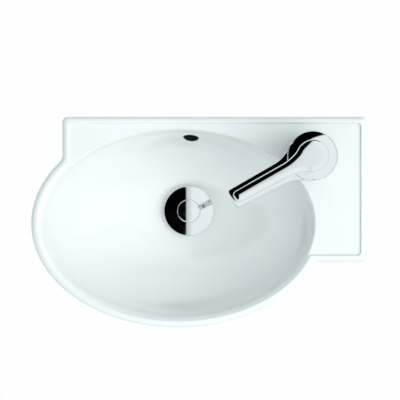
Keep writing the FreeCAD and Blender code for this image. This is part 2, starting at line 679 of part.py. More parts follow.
def spoon_prism(disc, root_half, tip_half, reach, blend, tip_round, low, high):
    """Upright solid with the plan of a spoon: a disc with a tapering arm and hollow rounds between."""
    corners = [Vector(0, -root_half, low), Vector(reach, -tip_half, low),
               Vector(reach, tip_half, low), Vector(0, root_half, low)]
    arm = Part.Face(Part.makePolygon(corners + corners[:1])).extrude(UP * (high - low))
    bowl = Part.makeCylinder(disc, high - low, Vector(0, 0, low), UP, 360)
    bowl.rotate(Vector(), UP, 180)
    prism = arm.fuse(bowl).removeSplitter().Solids[0]
    tips = [edge for edge in upright_edges(prism) if abs(edge.CenterOfMass.x - reach) < NEAR]
    prism = prism.makeFillet(tip_round, tips)
    joints = [edge for edge in upright_edges(prism)
              if 0 < edge.CenterOfMass.x < disc + NEAR and abs(edge.CenterOfMass.y) > root_half / 2]
    return prism.makeFillet(blend, joints)


def side_prism(profile, half_width):
    """Solid with a side view given as (forward, height) corners, as wide as asked."""
    corners = [Vector(forward, -half_width, height) for forward, height in profile]
    return Part.Face(Part.makePolygon(corners + corners[:1])).extrude(Vector(0, 2 * half_width, 0))


def spout_top(forward):
    """Height of the spout's upper side, which falls from beside the dome to the tip."""
    start = mm.head_radius
    root = mm.joint_height + mm.spout_rise
    return root + (mm.spout_tip_top - root) * (forward - start) / (mm.spout_reach - start)


def arched_section(forward, half, low, high, corner):
    """Upright section across the spout: round lower corners, straight sides and an arched top."""
    slant = corner * (1 - math.sqrt(0.5))
    shoulder = high - half * mm.spout_arch

    def point(side, height):
        return Vector(forward, side, height)

    edges = [
        Part.LineSegment(point(corner - half, low), point(half - corner, low)),
        Part.Arc(point(half - corner, low), point(half - slant, low + slant), point(half, low + corner)),
        Part.LineSegment(point(half, low + corner), point(half, shoulder)),
        Part.Arc(point(half, shoulder), point(0, high), point(-half, shoulder)),
        Part.LineSegment(point(-half, shoulder), point(-half, low + corner)),
        Part.Arc(point(-half, low + corner), point(slant - half, low + slant), point(corner - half, low)),
    ]
    return Part.Wire([edge.toShape() for edge in edges])


def spout_section(forward):
    """The spout's section: flared at the head, tapering and rising to a level outlet end."""
    start = mm.head_radius
    level = mm.spout_reach - mm.spout_low_length
    share = min(max((forward - start) / (level - start), 0), 1)
    rise = share * share * (3 - 2 * share)
    flare = max(1 - forward / (start + mm.spout_blend), 0)
    half = mm.spout_root_half + (mm.spout_tip_half - mm.spout_root_half) * forward / mm.spout_reach
    half = half + mm.spout_flare * flare * flare
    low = mm.spout_root_low + (mm.spout_low - mm.spout_root_low) * rise
    high = spout_top(max(forward, start)) - mm.spout_sink * max(1 - forward / start, 0)
    return arched_section(forward, half, low, high, mm.spout_edge_round)


FLARE_STEPS = (0.4, 0.8, 1.2, 1.6)


def spout_shape():
    """Loft of sections from inside the head to the tip, whose end is rounded."""
    level = mm.spout_reach - mm.spout_low_length
    stations = [step * mm.head_radius for step in FLARE_STEPS]
    stations += [(stations[-1] + level) / 2, level, mm.spout_reach]
    spout = Part.makeLoft([spout_section(forward) for forward in stations], True, False)
    end = [edge for edge in spout.Edges if edge.BoundBox.XMin > mm.spout_reach - NEAR]
    return spout.makeFillet(mm.spout_tip_round, end)


def make_tap_body():
    foot = size.gasket_thick
    column = turned("tap_column", [
        (0, 0),
        (size.base_radius, 0),
        (size.head_radius, size.flare_height - foot),
        (size.head_radius, size.joint_height - foot),
        (0, size.joint_height - foot),
    ])
    move(column, (0, 0, foot))
    outlet = size.spout_reach - size.outlet_from_tip
    boss_height = size.spout_low - size.outlet_face + size.spout_edge_round
    boss = cylinder("tap_outlet_boss", size.outlet_boss_radius, boss_height, (outlet, 0, size.outlet_face))
    whole = fuse("tap_whole", column, made("tap_spout", spout_shape()), boss)
    tools = [cylinder("tap_bore", size.body_bore, size.joint_height, (0, 0, size.bore_floor)),
             cylinder("tap_dome_seat", size.head_radius + size.fit_gap, size.joint_height,
                      (0, 0, size.joint_height))]
    for side in (-1, 1):
        place = (size.inlet_forward, size.inlet_spacing * side / 2, foot)
        tools.append(cylinder("tap_inlet", size.inlet_radius, size.inlet_depth, place))
        tools.append(cylinder("tap_port", size.port_radius, size.bore_floor, place))
    tools.append(cylinder("tap_stud_hole", size.stud_radius + size.fit_gap, size.stud_depth,
                          (-size.stud_back, 0, foot)))
    tools.append(cylinder("tap_outlet", size.outlet_radius, size.outlet_depth, (outlet, 0, size.outlet_face)))
    tools.append(made("tap_waterway", waterway_shape()))
    settle(cut("tap_body", whole, *tools), TAP)


def waterway_shape():
    """Straight channel that climbs from the cartridge's chamber to the outlet."""
    start = Vector(mm.body_bore - mm.waterway_radius, 0, mm.waterway_start)
    end = Vector(mm.spout_reach - mm.outlet_from_tip, 0, mm.waterway_end)
    return Part.makeCylinder(mm.waterway_radius, (end - start).Length, start, end - start)


def make_base_gasket():
    settle(ring("base_gasket", size.tap_hole_radius, size.gasket_radius, size.gasket_thick), TAP)


def make_dome_cap():
    height = size.dome_radius
    belt = cylinder("dome_belt", size.head_radius, height, (0, 0, size.joint_height))
    crown = common("dome_crown", sphere("dome_ball", size.dome_radius, size.pivot_height), belt)
    spigot_low = size.joint_height - size.spigot_length
    spigot = cylinder("dome_spigot", size.body_bore - size.fit_gap, size.spigot_length, (0, 0, spigot_low))
    inner_ball = sphere("dome_inner_ball", size.dome_radius - size.dome_wall, size.pivot_height)
    inner_core = cylinder("dome_inner_core", size.dome_bore, height, (0, 0, spigot_low))
    inside = common("dome_inside", inner_ball, inner_core)
    opening = cylinder("dome_opening", size.dome_opening, height * 2, (0, 0, spigot_low))
    settle(cut("dome_cap", fuse("dome_whole", crown, spigot), inside, opening), TAP)


def make_aerator():
    at_outlet = along_spout(size.spout_reach - size.outlet_from_tip)
    bore = size.outlet_radius - size.fit_gap - size.aerator_wall
    top = size.aerator_lip + size.outlet_depth - size.aerator_seal_thick
    low = size.outlet_face - size.aerator_lip
    settle(turned("aerator_sleeve", [
        (bore, 0),
        (size.aerator_lip_radius, 0),
        (size.aerator_lip_radius, size.aerator_lip),
        (size.outlet_radius - size.fit_gap, size.aerator_lip),
        (size.outlet_radius - size.fit_gap, top),
        (bore, top),
    ]), at_outlet, low)
    settle(cylinder("aerator_insert", bore - size.fit_gap, size.aerator_insert_height), at_outlet,
           low + size.aerator_insert_step)
    settle(ring("aerator_seal", bore - size.aerator_wall, size.outlet_radius - size.fit_gap,
                size.aerator_seal_thick), at_outlet, low + top)


# The cartridge, stacked on the floor of the tap's chamber

PORT_SEAL_LOW = size.bore_floor
HOUSING_LOW = PORT_SEAL_LOW + size.port_seal_thick
DISC_SEAL_LOW = HOUSING_LOW + size.housing_floor
FIXED_DISC_LOW = DISC_SEAL_LOW + size.disc_seal_thick
MOVING_DISC_LOW = FIXED_DISC_LOW + size.fixed_disc_thick + size.face_gap
CARRIER_LOW = MOVING_DISC_LOW + size.moving_disc_thick
TURRET_LOW = CARRIER_LOW + size.carrier_thick + size.face_gap
HOUSING_TOP_LOW = TURRET_LOW + size.turret_flange_thick + size.face_gap
CARTRIDGE_NUT_LOW = HOUSING_TOP_LOW + size.housing_top
NECK_TOP = size.pivot_height + size.neck_rise


def ports(name, height, low):
    """The two water ports through one piece of the stack."""
    return [cylinder(name + "_port", size.port_radius, height,
                     (size.inlet_forward, size.inlet_spacing * side / 2, low)) for side in (-1, 1)]


def ported_disc(name, radius, height, low):
    settle(cut(name, cylinder(name + "_blank", radius, height), *ports(name, height, 0)), TAP, low)


def make_fixed_cartridge():
    ported_disc("port_seal", size.housing_radius, size.port_seal_thick, PORT_SEAL_LOW)
    ported_disc("disc_seal", size.fixed_disc_radius, size.disc_seal_thick, DISC_SEAL_LOW)
    ported_disc("fixed_disc", size.fixed_disc_radius, size.fixed_disc_thick, FIXED_DISC_LOW)
    cavity_top = HOUSING_TOP_LOW - HOUSING_LOW
    shoulder = CARTRIDGE_NUT_LOW - HOUSING_LOW
    neck_top = NECK_TOP - HOUSING_LOW
    neck_bore = size.turret_radius + size.running_gap
    shell = turned("housing_shell", [
        (0, 0),
        (size.housing_radius, 0),
        (size.housing_radius, shoulder),
        (neck_bore + size.neck_wall, shoulder),
        (neck_bore + size.neck_wall, neck_top),
        (neck_bore, neck_top),
        (neck_bore, cavity_top),
        (size.housing_cavity, cavity_top),
        (size.housing_cavity, size.housing_floor),
        (0, size.housing_floor),
    ])
    window = block("housing_window", size.housing_radius, size.window_width, size.carrier_thick,
                   (size.housing_radius, 0, CARRIER_LOW - HOUSING_LOW))
    tools = [window] + ports("housing", size.housing_floor, 0)
    settle(cut("cartridge_housing", shell, *tools), TAP, HOUSING_LOW)
    nut = ring("cartridge_nut_ring", size.cartridge_nut_bore, size.body_bore - size.fit_gap,
               size.cartridge_nut_height)
    notch = block("cartridge_nut_notch", size.key_width, size.body_bore * 2, size.key_depth,
                  (0, 0, size.cartridge_nut_height - size.key_depth))
    settle(cut("cartridge_nut", nut, notch), TAP, CARTRIDGE_NUT_LOW)


def make_turret():
    """The part of the cartridge that turns with the lever and carries the pin of the stem."""
    flange = size.turret_flange_thick
    top = NECK_TOP - TURRET_LOW
    blank = turned("turret_blank", [
        (0, 0),
        (size.turret_flange_radius, 0),
        (size.turret_flange_radius, flange),
        (size.turret_radius, flange),
        (size.turret_radius, top),
        (0, top),
    ])
    slot = block("turret_slot", size.turret_slot, size.stem_width + size.running_gap * 2, top, (0, 0, 0))
    pivot = size.pivot_height - TURRET_LOW
    hole = cylinder("turret_pin_hole", size.pin_radius + size.fit_gap, size.turret_radius * 2,
                    (0, -size.turret_radius, pivot), "y")
    settle(cut("cartridge_turret", blank, slot, hole), TAP, TURRET_LOW)
    pin = Part.makeCylinder(mm.pin_radius, mm.pin_length, Vector(0, -mm.pin_length / 2, 0), Vector(0, 1, 0))
    settle(made("stem_pin", pin), TAP, size.pivot_height)


def ball_offset():
    """How far the ball stands behind the tap axis when the lever is down."""
    return Size(mm.lower_arm * math.sin(math.radians(mm.lean)), "(Sizes.lower_arm * sin(Sizes.lean * 1deg))")


def make_slider():
    """The moving ceramic disc and its carrier, which the ball of the stem pushes along the slot."""
    at_ball = along_spout(-ball_offset())
    blank = cylinder("carrier_blank", size.moving_disc_radius, size.carrier_thick)
    socket = cylinder("carrier_socket", size.ball_radius + size.ball_gap, size.carrier_thick)
    settle(cut("disc_carrier", blank, socket), at_ball, CARRIER_LOW)
    settle(cylinder("moving_disc", size.moving_disc_radius, size.moving_disc_thick), at_ball, MOVING_DISC_LOW)


# The lever and its stem, drawn with the stem upright at the pivot and then leant

LEAN = Placement(UP * mm.pivot_height, Rotation(Vector(0, 1, 0), mm.lean))


def leaning(shape):
    """Lean a shape drawn about the pivot towards the spout, and lift it to the pivot's height."""
    shape = shape.copy()
    shape.Placement = LEAN.multiply(shape.Placement)
    return shape


def stem_end():
    """Distance from the pivot to the end of the stem, inside the lever."""
    return mm.dome_radius + mm.lever_gap + mm.lever_thick - mm.socket_roof


def square_bar(side, low, high):
    return Part.makeBox(side, side, high - low, Vector(-side / 2, -side / 2, low))


def make_stem():
    barrel = Part.makeCylinder(mm.stem_barrel, mm.stem_width,
                               Vector(0, -mm.stem_width / 2, 0), Vector(0, 1, 0))
    rod = Part.makeCylinder(mm.lower_rod, mm.lower_arm, Vector(0, 0, -mm.lower_arm))
    ball = Part.makeSphere(mm.ball_radius, Vector(0, 0, -mm.lower_arm))
    pin_hole = Part.makeCylinder(mm.pin_radius + mm.running_gap, 2 * mm.stem_width,
                                 Vector(0, -mm.stem_width, 0), Vector(0, 1, 0))
    pieces = [leaning(piece) for piece in (square_bar(mm.stem_side, 0, stem_end()), barrel, rod, ball)]
    stem = pieces[0].fuse(pieces[1:]).cut(leaning(pin_hole)).removeSplitter()
    settle(made("cartridge_stem", stem.Solids[0]), TAP)


def screw_axis():
    """Start and direction of the grub screw: from the stem towards the left side of the lever."""
    return Vector(0, -mm.stem_side / 2, stem_end() - mm.screw_drop), Vector(0, -1, 0)


def below_lever(begin, depth_root, depth_tip):
    """Everything below a plane that lies under the lever's upper side, from one distance forward."""
    top = mm.pivot_height + mm.dome_radius + mm.lever_gap + mm.lever_thick
    tip = mm.lever_reach

    def height(forward):
        share = forward / tip
        return top - depth_root - (mm.lever_fall + depth_tip - depth_root) * share

    far = tip + mm.head_radius
    low = mm.joint_height - mm.head_radius
    return side_prism([(begin, low), (far, low), (far, height(far)), (begin, height(begin))],
                      2 * mm.head_radius)


def lever_shape():
    """A flat spoon: its disc is a cap with a hollow underside on the dome, its arm a thin bar."""
    under = mm.dome_radius + mm.lever_gap
    plan = spoon_prism(mm.lever_disc, mm.lever_root_half, mm.lever_tip_half, mm.lever_reach, mm.lever_blend,
                       mm.lever_tip_round, mm.joint_height, mm.joint_height + 2 * mm.head_radius)
    hollow = Part.makeSphere(under, UP * mm.pivot_height).fuse(
        below_lever(mm.lever_disc, mm.arm_root_thick, mm.arm_tip_thick))
    lever = plan.common(below_lever(-mm.head_radius, 0, 0)).cut(hollow).removeSplitter()
    lever = max(lever.Solids, key=lambda solid: solid.Volume)
    boss_low = under - mm.lever_boss_length
    boss = Part.makeCylinder(mm.lever_boss, mm.lever_boss_length + mm.lever_thick / 2, UP * boss_low)
    socket = square_bar(mm.stem_side + 2 * mm.fit_gap, boss_low, stem_end() + mm.fit_gap)
    start, direction = screw_axis()
    thread = Part.makeCylinder(mm.screw_radius + mm.fit_gap, mm.screw_length, start, direction)
    access = Part.makeCylinder(mm.screw_access, 2 * mm.lever_disc, start, direction)
    tools = [leaning(tool) for tool in (socket, thread, access)]
    return lever.fuse(leaning(boss)).cut(tools).removeSplitter().Solids[0]


def make_lever():
    settle(made("lever", lever_shape()), TAP)
    start, direction = screw_axis()
    screw = Part.makeCylinder(mm.screw_radius, mm.screw_length - mm.fit_gap,
                              LEAN.multVec(start + direction * mm.fit_gap), LEAN.Rotation.multVec(direction))
    settle(made("lever_screw", screw), TAP)


# The fixing of the tap under the ledge


def half_plate(name, height, low):
    """Half-round plate behind the tap axis, with a hole for the stud."""
    disc = cylinder(name + "_disc", size.clamp_radius, height)
    front = block(name + "_front", size.clamp_radius * 2, size.clamp_radius * 3, height,
                  (size.clamp_radius - size.clamp_clear, 0, 0))
    hole = cylinder(name + "_hole", size.stud_radius + size.fit_gap, height, (-size.stud_back, 0, 0))
    settle(cut(name, disc, front, hole), TAP, low)


def make_tap_fixing():
    plate_under = -size.ledge_plate
    gasket_low = plate_under - size.clamp_gasket_thick
    clamp_low = gasket_low - size.clamp_thick
    nut_low = clamp_low - size.stud_nut_height
    half_plate("clamp_gasket", size.clamp_gasket_thick, gasket_low)
    half_plate("clamp_washer", size.clamp_thick, clamp_low)
    at_stud = along_spout(-size.stud_back)
    nut = hexagon("stud_nut_hexagon", size.stud_nut_radius, size.stud_nut_height)
    hole = cylinder("stud_nut_hole", size.stud_radius + size.fit_gap, size.stud_nut_height)
    settle(cut("stud_nut", nut, hole), at_stud, nut_low)
    length = size.stud_drop + size.gasket_thick + size.stud_depth
    settle(cylinder("mounting_stud", size.stud_radius, length), at_stud, -size.stud_drop)


def check_objects():
    """Stop if any object of the document failed or any sub-part is empty or broken."""
    for thing in doc.Objects:
        if "Invalid" in thing.State or "Error" in thing.State:
            raise RuntimeError(f"{thing.Name} failed: {thing.State}")
    for node in nodes:
        if node.Shape.isNull() or not node.Shape.isValid() or len(node.Shape.Solids) != 1:
            raise RuntimeError(f"{node.Label} is not one sound solid")


def main():
    make_china()
    make_waste_body()
    make_waste_seals()
    make_click_cartridge()
    make_plug()
    make_tap_body()
    make_base_gasket()
    make_dome_cap()
    make_aerator()
    make_fixed_cartridge()
    make_turret()
    make_slider()
    make_stem()
    make_lever()
    make_tap_fixing()
    doc.recompute()
    check_objects()
    os.makedirs("parts", exist_ok=True)
    for node in nodes:
        node.Shape.exportStep(f"parts/{node.Label}.step")
        print(f"{node.Label}: {node.Shape.Volume / 1000:.2f} cm3")


main()
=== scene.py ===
import json
import math

import bmesh
import bpy
import numpy as np
from bpy.props import FloatProperty, FloatVectorProperty, IntProperty, PointerProperty
from mathutils import Matrix, Vector


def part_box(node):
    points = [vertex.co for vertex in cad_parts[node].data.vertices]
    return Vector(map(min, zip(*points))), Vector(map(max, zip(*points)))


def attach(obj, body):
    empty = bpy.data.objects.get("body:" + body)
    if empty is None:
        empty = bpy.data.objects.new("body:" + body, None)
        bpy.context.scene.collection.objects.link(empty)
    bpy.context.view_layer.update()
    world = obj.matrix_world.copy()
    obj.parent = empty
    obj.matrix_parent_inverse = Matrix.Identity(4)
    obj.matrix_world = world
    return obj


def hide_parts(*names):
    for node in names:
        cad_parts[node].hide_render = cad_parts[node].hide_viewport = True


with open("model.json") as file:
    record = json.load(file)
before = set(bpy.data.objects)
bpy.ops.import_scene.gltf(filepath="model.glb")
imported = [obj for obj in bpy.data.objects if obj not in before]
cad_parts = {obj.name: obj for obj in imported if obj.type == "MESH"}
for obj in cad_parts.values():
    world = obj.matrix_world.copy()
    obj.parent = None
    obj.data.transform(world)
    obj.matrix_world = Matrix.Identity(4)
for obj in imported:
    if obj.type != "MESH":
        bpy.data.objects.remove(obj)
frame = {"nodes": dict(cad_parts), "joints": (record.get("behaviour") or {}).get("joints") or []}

bl_info = {
    "name": "Hand-rinse basin",
    "version": (1, 0, 0),
    "blender": (4, 5, 0),
    "location": "3D View > Sidebar > Basin",
    "description": "Finishes for a wall-hung basin with its lever mixer and click waste",
    "category": "Object",
}

# The rows of the frame hold the tap's place: its axis, its pivot and the way that the spout points.
JOINTS = {joint["name"]: joint for joint in frame["joints"]}
PIVOT = Vector(JOINTS["lever_lift"]["pos_m"])
SPOUT_WAY = Vector(JOINTS["disc_slide"]["axis"])
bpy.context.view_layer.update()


# Sizes and colours that a user would change


def length(name, description, metres):
    return FloatProperty(name=name, description=description, default=metres, min=0.0, unit="LENGTH",
                         precision=4)


def colour(name, description, red, green, blue):
    return FloatVectorProperty(name=name, description=description, default=(red, green, blue), min=0.0,
                               max=1.0, size=3, subtype="COLOR")


def spot(name, description, x, y, z):
    return FloatVectorProperty(name=name, description=description, default=(x, y, z), size=3,
                               subtype="TRANSLATION", unit="LENGTH")


def share(name, description, value):
    return FloatProperty(name=name, description=description, default=value, min=0.0, max=1.0,
                         subtype="FACTOR")


class BasinColours(bpy.types.PropertyGroup):
    """Colours of the basin's finishes."""

    glaze: colour("Glaze", "White of the glazed china", 0.88, 0.893, 0.892)
    glaze_pool: colour("Pooled glaze", "China where the glaze lies a little thicker", 0.85, 0.872, 0.87)
    # Near-black painted shade for the deep overflow duct, not a colour of the china itself.
    overflow_painted_shade: colour("Overflow shade", "Near-black painted shade inside the overflow", 0.003, 0.003, 0.0035)
    chrome: colour("Chrome", "Plated brass of tap and waste", 0.86, 0.87, 0.88)
    brass: colour("Brass", "Bare machined brass", 0.72, 0.53, 0.24)
    steel: colour("Steel", "Stainless steel", 0.56, 0.56, 0.57)
    rubber: colour("Rubber", "Seals and gaskets", 0.030, 0.031, 0.033)
    plastic: colour("Plastic", "Moulded pieces of cartridge and aerator", 0.62, 0.64, 0.66)
    disc: colour("Disc ceramic", "Lapped discs of the cartridge", 0.86, 0.84, 0.79)


class OverflowSizes(bpy.types.PropertyGroup):
    """The overflow hole in the bowl's back wall, whose bore is painted near-black as painted shade and left
    matt without coat.
    """

    right: length("Right", "Axis of the hole, right of the drain", 0.003)
    height: length("Height", "Axis of the hole above the fixing holes", 0.025)
    radius: length("Radius", "Bore of the hole", 0.0086)
    # The painted shade reaches a little past the bore, fades in over its edge, and ends at the front and
    # rear limits along the bore.
    shade_margin: length("Bare edge", "Painted shade round the bore", 0.0002)
    fade: length("Fade", "Width over which the painted shade fades in", 0.0008)
    front: length("Front", "Wall to the front end of the painted shade", 0.040)
    rear: length("Rear", "Wall to the rear end of the painted shade", 0.0095)


class TapSizes(bpy.types.PropertyGroup):
    """Outside form of the tap; heights count from the ledge."""

    foot_height: length("Foot", "Underside of the tap above the ledge", 0.002)
    base_radius: length("Foot radius", "Radius of the column at its foot", 0.0245)
    head_radius: length("Head radius", "Radius of the head and its dome", 0.029)
    flare_height: length("Flare height", "Height where the column reaches the head", 0.040)
    pivot_height: length("Pivot height", "Centre of the dome", 0.046)
    joint_height: length("Joint height", "Joint between body and dome", 0.073)
    dome_radius: length("Dome", "Round of the shallow dome", 0.040)
    rim_round: length("Rim", "Round of the dome's rim", 0.0008)
    reach: length("Reach", "Tap axis to the tip of the spout", 0.1065)
    root_half: length("Spout half width", "Half width of the spout at the head", 0.0144)
    tip_half: length("Tip half width", "Half width of the spout at its tip", 0.0116)
    root_top: length("Spout top", "Upper side of the spout at the head", 0.0760)
    tip_top: length("Tip top", "Upper side of the spout at its tip", 0.066)
    root_low: length("Spout underside", "Underside of the spout at the column", 0.030)
    tip_low: length("Tip underside", "Underside of the spout at its outlet", 0.049)
    level_length: length("Level end", "Length of the level underside at the outlet", 0.026)
    arch: share("Spout arch", "Rise of the spout's arched upper side, as a share of its half width", 0.38)
    upper_round: length("Upper edges", "Round of the spout's upper edges", 0.0010)
    edge_round: length("Lower edges", "Round of the spout's lower edges", 0.0055)
    tip_round: length("Tip edges", "Round of the edges of the tip", 0.0045)
    neck_blend: length("Neck", "Soft hollow where the spout leaves the head", 0.002)
    neck_round: length("Neck round", "Hollow round of the neck in plan", 0.040)
    neck_end: length("Neck end", "Tap axis to the end of that round", 0.0436)
    neck_arch: share("Neck arch", "Arch of the spout's top where it meets the head", 0.12)
    outlet_forward: length("Outlet", "Tap axis to the outlet axis", 0.0937)
    outlet_face: length("Outlet face", "Height of the face round the outlet", 0.048)
    outlet_radius: length("Outlet bore", "Bore for the aerator", 0.0098)
    outlet_depth: length("Outlet depth", "Depth of that bore above its face", 0.010)
    boss_radius: length("Outlet boss", "Radius of the face round the outlet", 0.011172)
    boss_blend: length("Boss join", "Soft join of that face and the spout", 0.001)
    foot_round: length("Foot edge", "Round of the edge of the foot", 0.0012)
    bore_radius: length("Chamber", "Bore for the cartridge", 0.0185)
    bore_floor: length("Chamber floor", "Height of the floor of that bore", 0.019)
    crown_opening: length("Dome opening", "Opening of the dome under the lever", 0.016)
    crown_bore: length("Dome bore", "Bore of the dome at its foot", 0.017)
    crown_wall: length("Dome wall", "Metal of the dome at its crown", 0.003)
    seat_edge: length("Seat edges", "Round of the edges under the dome and at the bores", 0.0004)
    seam: length("Seam", "Fine gap between body and dome", 0.00008)
    grain: length("Mesh size", "Size of the faces of tap and lever", 0.0009)


class LeverSizes(bpy.types.PropertyGroup):
    """Form of the lever."""

    disc_radius: length("Disc", "Round end over the dome", 0.0186)
    root_half: length("Arm half width", "Half width of the arm at the head", 0.0090)
    tip_half: length("Tip half width", "Half width of the arm at its tip", 0.0072)
    reach: length("Reach", "Tap axis to the tip of the lever", 0.1035)
    tip_round: length("Tip corners", "Round of the tip in plan", 0.0055)
    neck_round: length("Neck round", "Hollow round between disc and arm in plan", 0.060)
    neck_end: length("Neck end", "Tap axis to the end of that round", 0.0376)
    blend: length("Neck", "Soft join of disc and arm", 0.003)
    dome_gap: length("Gap over the dome", "Lever above the dome", 0.0007)
    disc_thick: length("Disc thickness", "Lever over the middle of the dome", 0.0053)
    fall: length("Fall", "Fall of the upper side from the tap axis to the tip", 0.0005)
    root_thick: length("Arm thickness", "Arm at the head", 0.0053)
    tip_thick: length("Tip thickness", "Arm at its tip", 0.0040)
    roll: length("Rolled edge", "Width over which the upper side rolls into its edges", 0.0085)
    roll_steep: share("Roll", "Steepness of the rolled edges where they end", 0.80)
    top_round: length("Upper edges", "Round where the rolled upper side ends", 0.0028)
    edge_round: length("Edges", "Round of the lever's lower edges", 0.0008)
    boss_radius: length("Boss", "Boss round the stem", 0.0065)
    boss_length: length("Boss length", "Boss below the lever", 0.0025)
    boss_sink: length("Boss top", "Top of the boss below the lever's upper side", 0.004)
    boss_blend: length("Boss join", "Soft join of boss and lever", 0.0015)
    under_blend: length("Under side", "Soft join of the hollows under disc and arm", 0.004)
    screw_hole: length("Screw hole", "Hole that leads to the grub screw", 0.0015)
    screw_depth: length("Screw depth", "Axis of that hole below the upper side", 0.0041)
    screw_end: length("Screw end", "Stem axis to the inner end of that hole", 0.0045)
    screw_edge: length("Screw edge", "Round of the edge of that hole", 0.0004)
    lean: FloatProperty(name="Lean", description="Lean of the stem towards the spout", subtype="ANGLE",
                        default=math.radians(12.5))


class WasteSizes(bpy.types.PropertyGroup):
    """Form of the waste cover, whose heights count from its underside."""

    radius: length("Cover", "Radius of the waste cover", 0.031)
    edge: length("Edge", "Thickness at the edge", 0.0022)
    crown: length("Crown", "Dome radius of the cover", 0.120)
    disc_radius: length("Centre disc", "Radius of the disc let into the cover", 0.014)
    disc_gap: length("Gap", "Gap round that disc", 0.00015)
    disc_edge: length("Disc edge", "Bevel of the disc's upper edge", 0.0003)
    fine_edge: length("Fine edges", "Bevel of the recess and of the disc's lower edge", 0.0002)
    lower_edge: length("Lower edge", "Bevel of the cover's lower edge", 0.0005)
    boss_radius: length("Boss", "Boss under the cover", 0.006)
    stem_hole: length("Stem hole", "Hole for the stem in that boss", 0.0031)
    rolled: length("Rolled edge", "Round of the cover's upper edge", 0.0011)
    segments: IntProperty(name="Segments", description="Faces round a turned piece", default=144, min=24)
    tail_radius: length("Tail", "Outside of the threaded tail", 0.020955)
    tail_length: length("Tail length", "Tail below the flange", 0.090)
    plain_radius: length("Plain end", "Outside of the tail's plain end", 0.020)
    plain_length: length("Plain length", "Length of the tail's plain end", 0.030)
    bore_radius: length("Bore", "Inside of the tail", 0.018)
    flange_radius: length("Flange", "Radius of the flange", 0.0315)
    flange_thick: length("Flange thickness", "Thickness of the flange", 0.003)
    mouth_radius: length("Mouth", "Radius of the mouth", 0.0215)
    mouth_depth: length("Mouth depth", "Depth of the mouth", 0.006)
    slot_width: length("Overflow slot", "Width of the overflow slots", 0.014)
    slot_low: length("Slot underside", "Overflow slots above the end of the tail", 0.0725)
    slot_height: length("Slot height", "Height of the overflow slots", 0.006)
    bar_width: length("Cross-bars", "Width of the cross-bars", 0.005)
    bar_low: length("Bars underside", "Cross-bars above the end of the tail", 0.053)
    bar_height: length("Bar height", "Height of the cross-bars", 0.005)
    hub_radius: length("Hub", "Hub of the cross-bars", 0.008)
    hub_hole: length("Hub hole", "Hole in the hub", 0.005)
    pitch: length("Thread pitch", "Pitch of the tail's thread", 0.0023)
    thread_depth: length("Thread depth", "Depth of the tail's thread", 0.0011)
    thread_top: length("Thread end", "Upper end of the thread above the end of the tail", 0.066)
    edge_round: length("Edges", "Round of the tail's and the slots' edges", 0.0006)
    flange_round: length("Flange edge", "Round of the flange's edge", 0.0022)
    bore_edge: length("Bore edges", "Round of the bore's edges", 0.0008)
    bar_edge: length("Bar edges", "Round of the cross-bars' edges and depth of their ends", 0.001)
    hub_blend: length("Hub join", "Soft join of hub and cross-bars", 0.002)
    hub_edge: length("Hub edge", "Round of the edge of the hub's hole", 0.0004)
    slot_round: length("Slot corners", "Round of the corners of the overflow slots", 0.002)
    grain: length("Mesh size", "Size of the faces of the waste", 0.0007)


class NutSizes(bpy.types.PropertyGroup):
    """Nuts, stud and aerator."""

    back_nut_radius: length("Back nut", "Corner radius of the nut on the tail", 0.031)
    stud_nut_radius: length("Stud nut", "Corner radius of the nut on the stud", 0.0075)
    chamfer: length("Chamfer", "Bevel of a nut's corners", 0.0012)
    stud_radius: length("Stud", "Outside of the stud's thread", 0.004)
    stud_pitch: length("Stud pitch", "Pitch of the stud's thread", 0.00125)
    stud_thread: share("Stud thread", "Depth of the stud's thread, as a share of its pitch", 0.55)
    back_nut_grain: length("Back nut mesh", "Size of the faces of the nut on the tail", 0.0008)
    stud_nut_grain: length("Stud nut mesh", "Size of the faces of the nut on the stud", 0.00035)
    mesh_pitch: length("Mesh pitch", "Spacing of the aerator's mesh", 0.0016)
    mesh_bar: length("Mesh bar", "Thickness of the aerator's bars", 0.00045)


class StageSettings(bpy.types.PropertyGroup):
    """Camera, lamps and floor."""

    centre_x: FloatProperty(name="Centre across", description="Middle of the picture", default=-0.0175,
                            unit="LENGTH")
    centre_y: FloatProperty(name="Centre along", description="Middle of the picture", default=-0.0992,
                            unit="LENGTH")
    rim_height: length("Rim", "Height of the rim that fills the picture's width", 0.065)
    picture_width: length("Picture width", "Width that the picture shows at the rim", 0.475)
    camera_distance: length("Camera distance", "Camera above the rim", 2.2)
    view_depth: length("View depth", "Farthest point that the camera shows", 20.0)
    floor_drop: length("Floor", "Floor below the fixing holes", 0.60)
    floor_half: length("Floor half width", "Half width of the floor", 4.0)
    floor_colour: colour("Floor colour", "Bare colour of the floor", 0.62, 0.69, 0.69)
    ambient: share("Ambient", "Even light of the white room", 0.865)
    ambient_colour: colour("Ambient colour", "Cool white of the room", 0.93, 0.985, 1.0)
    left_colour: colour("Left colour", "Cooler shade of the room at the left", 0.80, 0.985, 1.0)
    slant: share("Slant", "How much more of that light comes from the front right", 0.42)
    screen_edge: FloatProperty(name="Screen edge", description="Where the dark screen at the left ends, "
                               "as the sideways part of its direction", default=-0.06)
    screen_soft: share("Screen softness", "Half width of the soft edge of that screen", 0.012)
    key_place: spot("Key place", "Where the large lamp at the front right stands", 4.8, -1.6, 6.4)
    key_width: length("Key width", "Width of that lamp", 6.8)
    key_power: FloatProperty(name="Key", description="Large lamp at the front right", default=258.0,
                             unit="POWER")
    fill_place: spot("Fill place", "Where the lamp at the front left stands", -1.6, -0.9, 1.5)
    fill_width: length("Fill width", "Width of that lamp", 1.2)
    fill_power: FloatProperty(name="Fill", description="Large lamp at the front left", default=3.0,
                              unit="POWER")


# Finishes


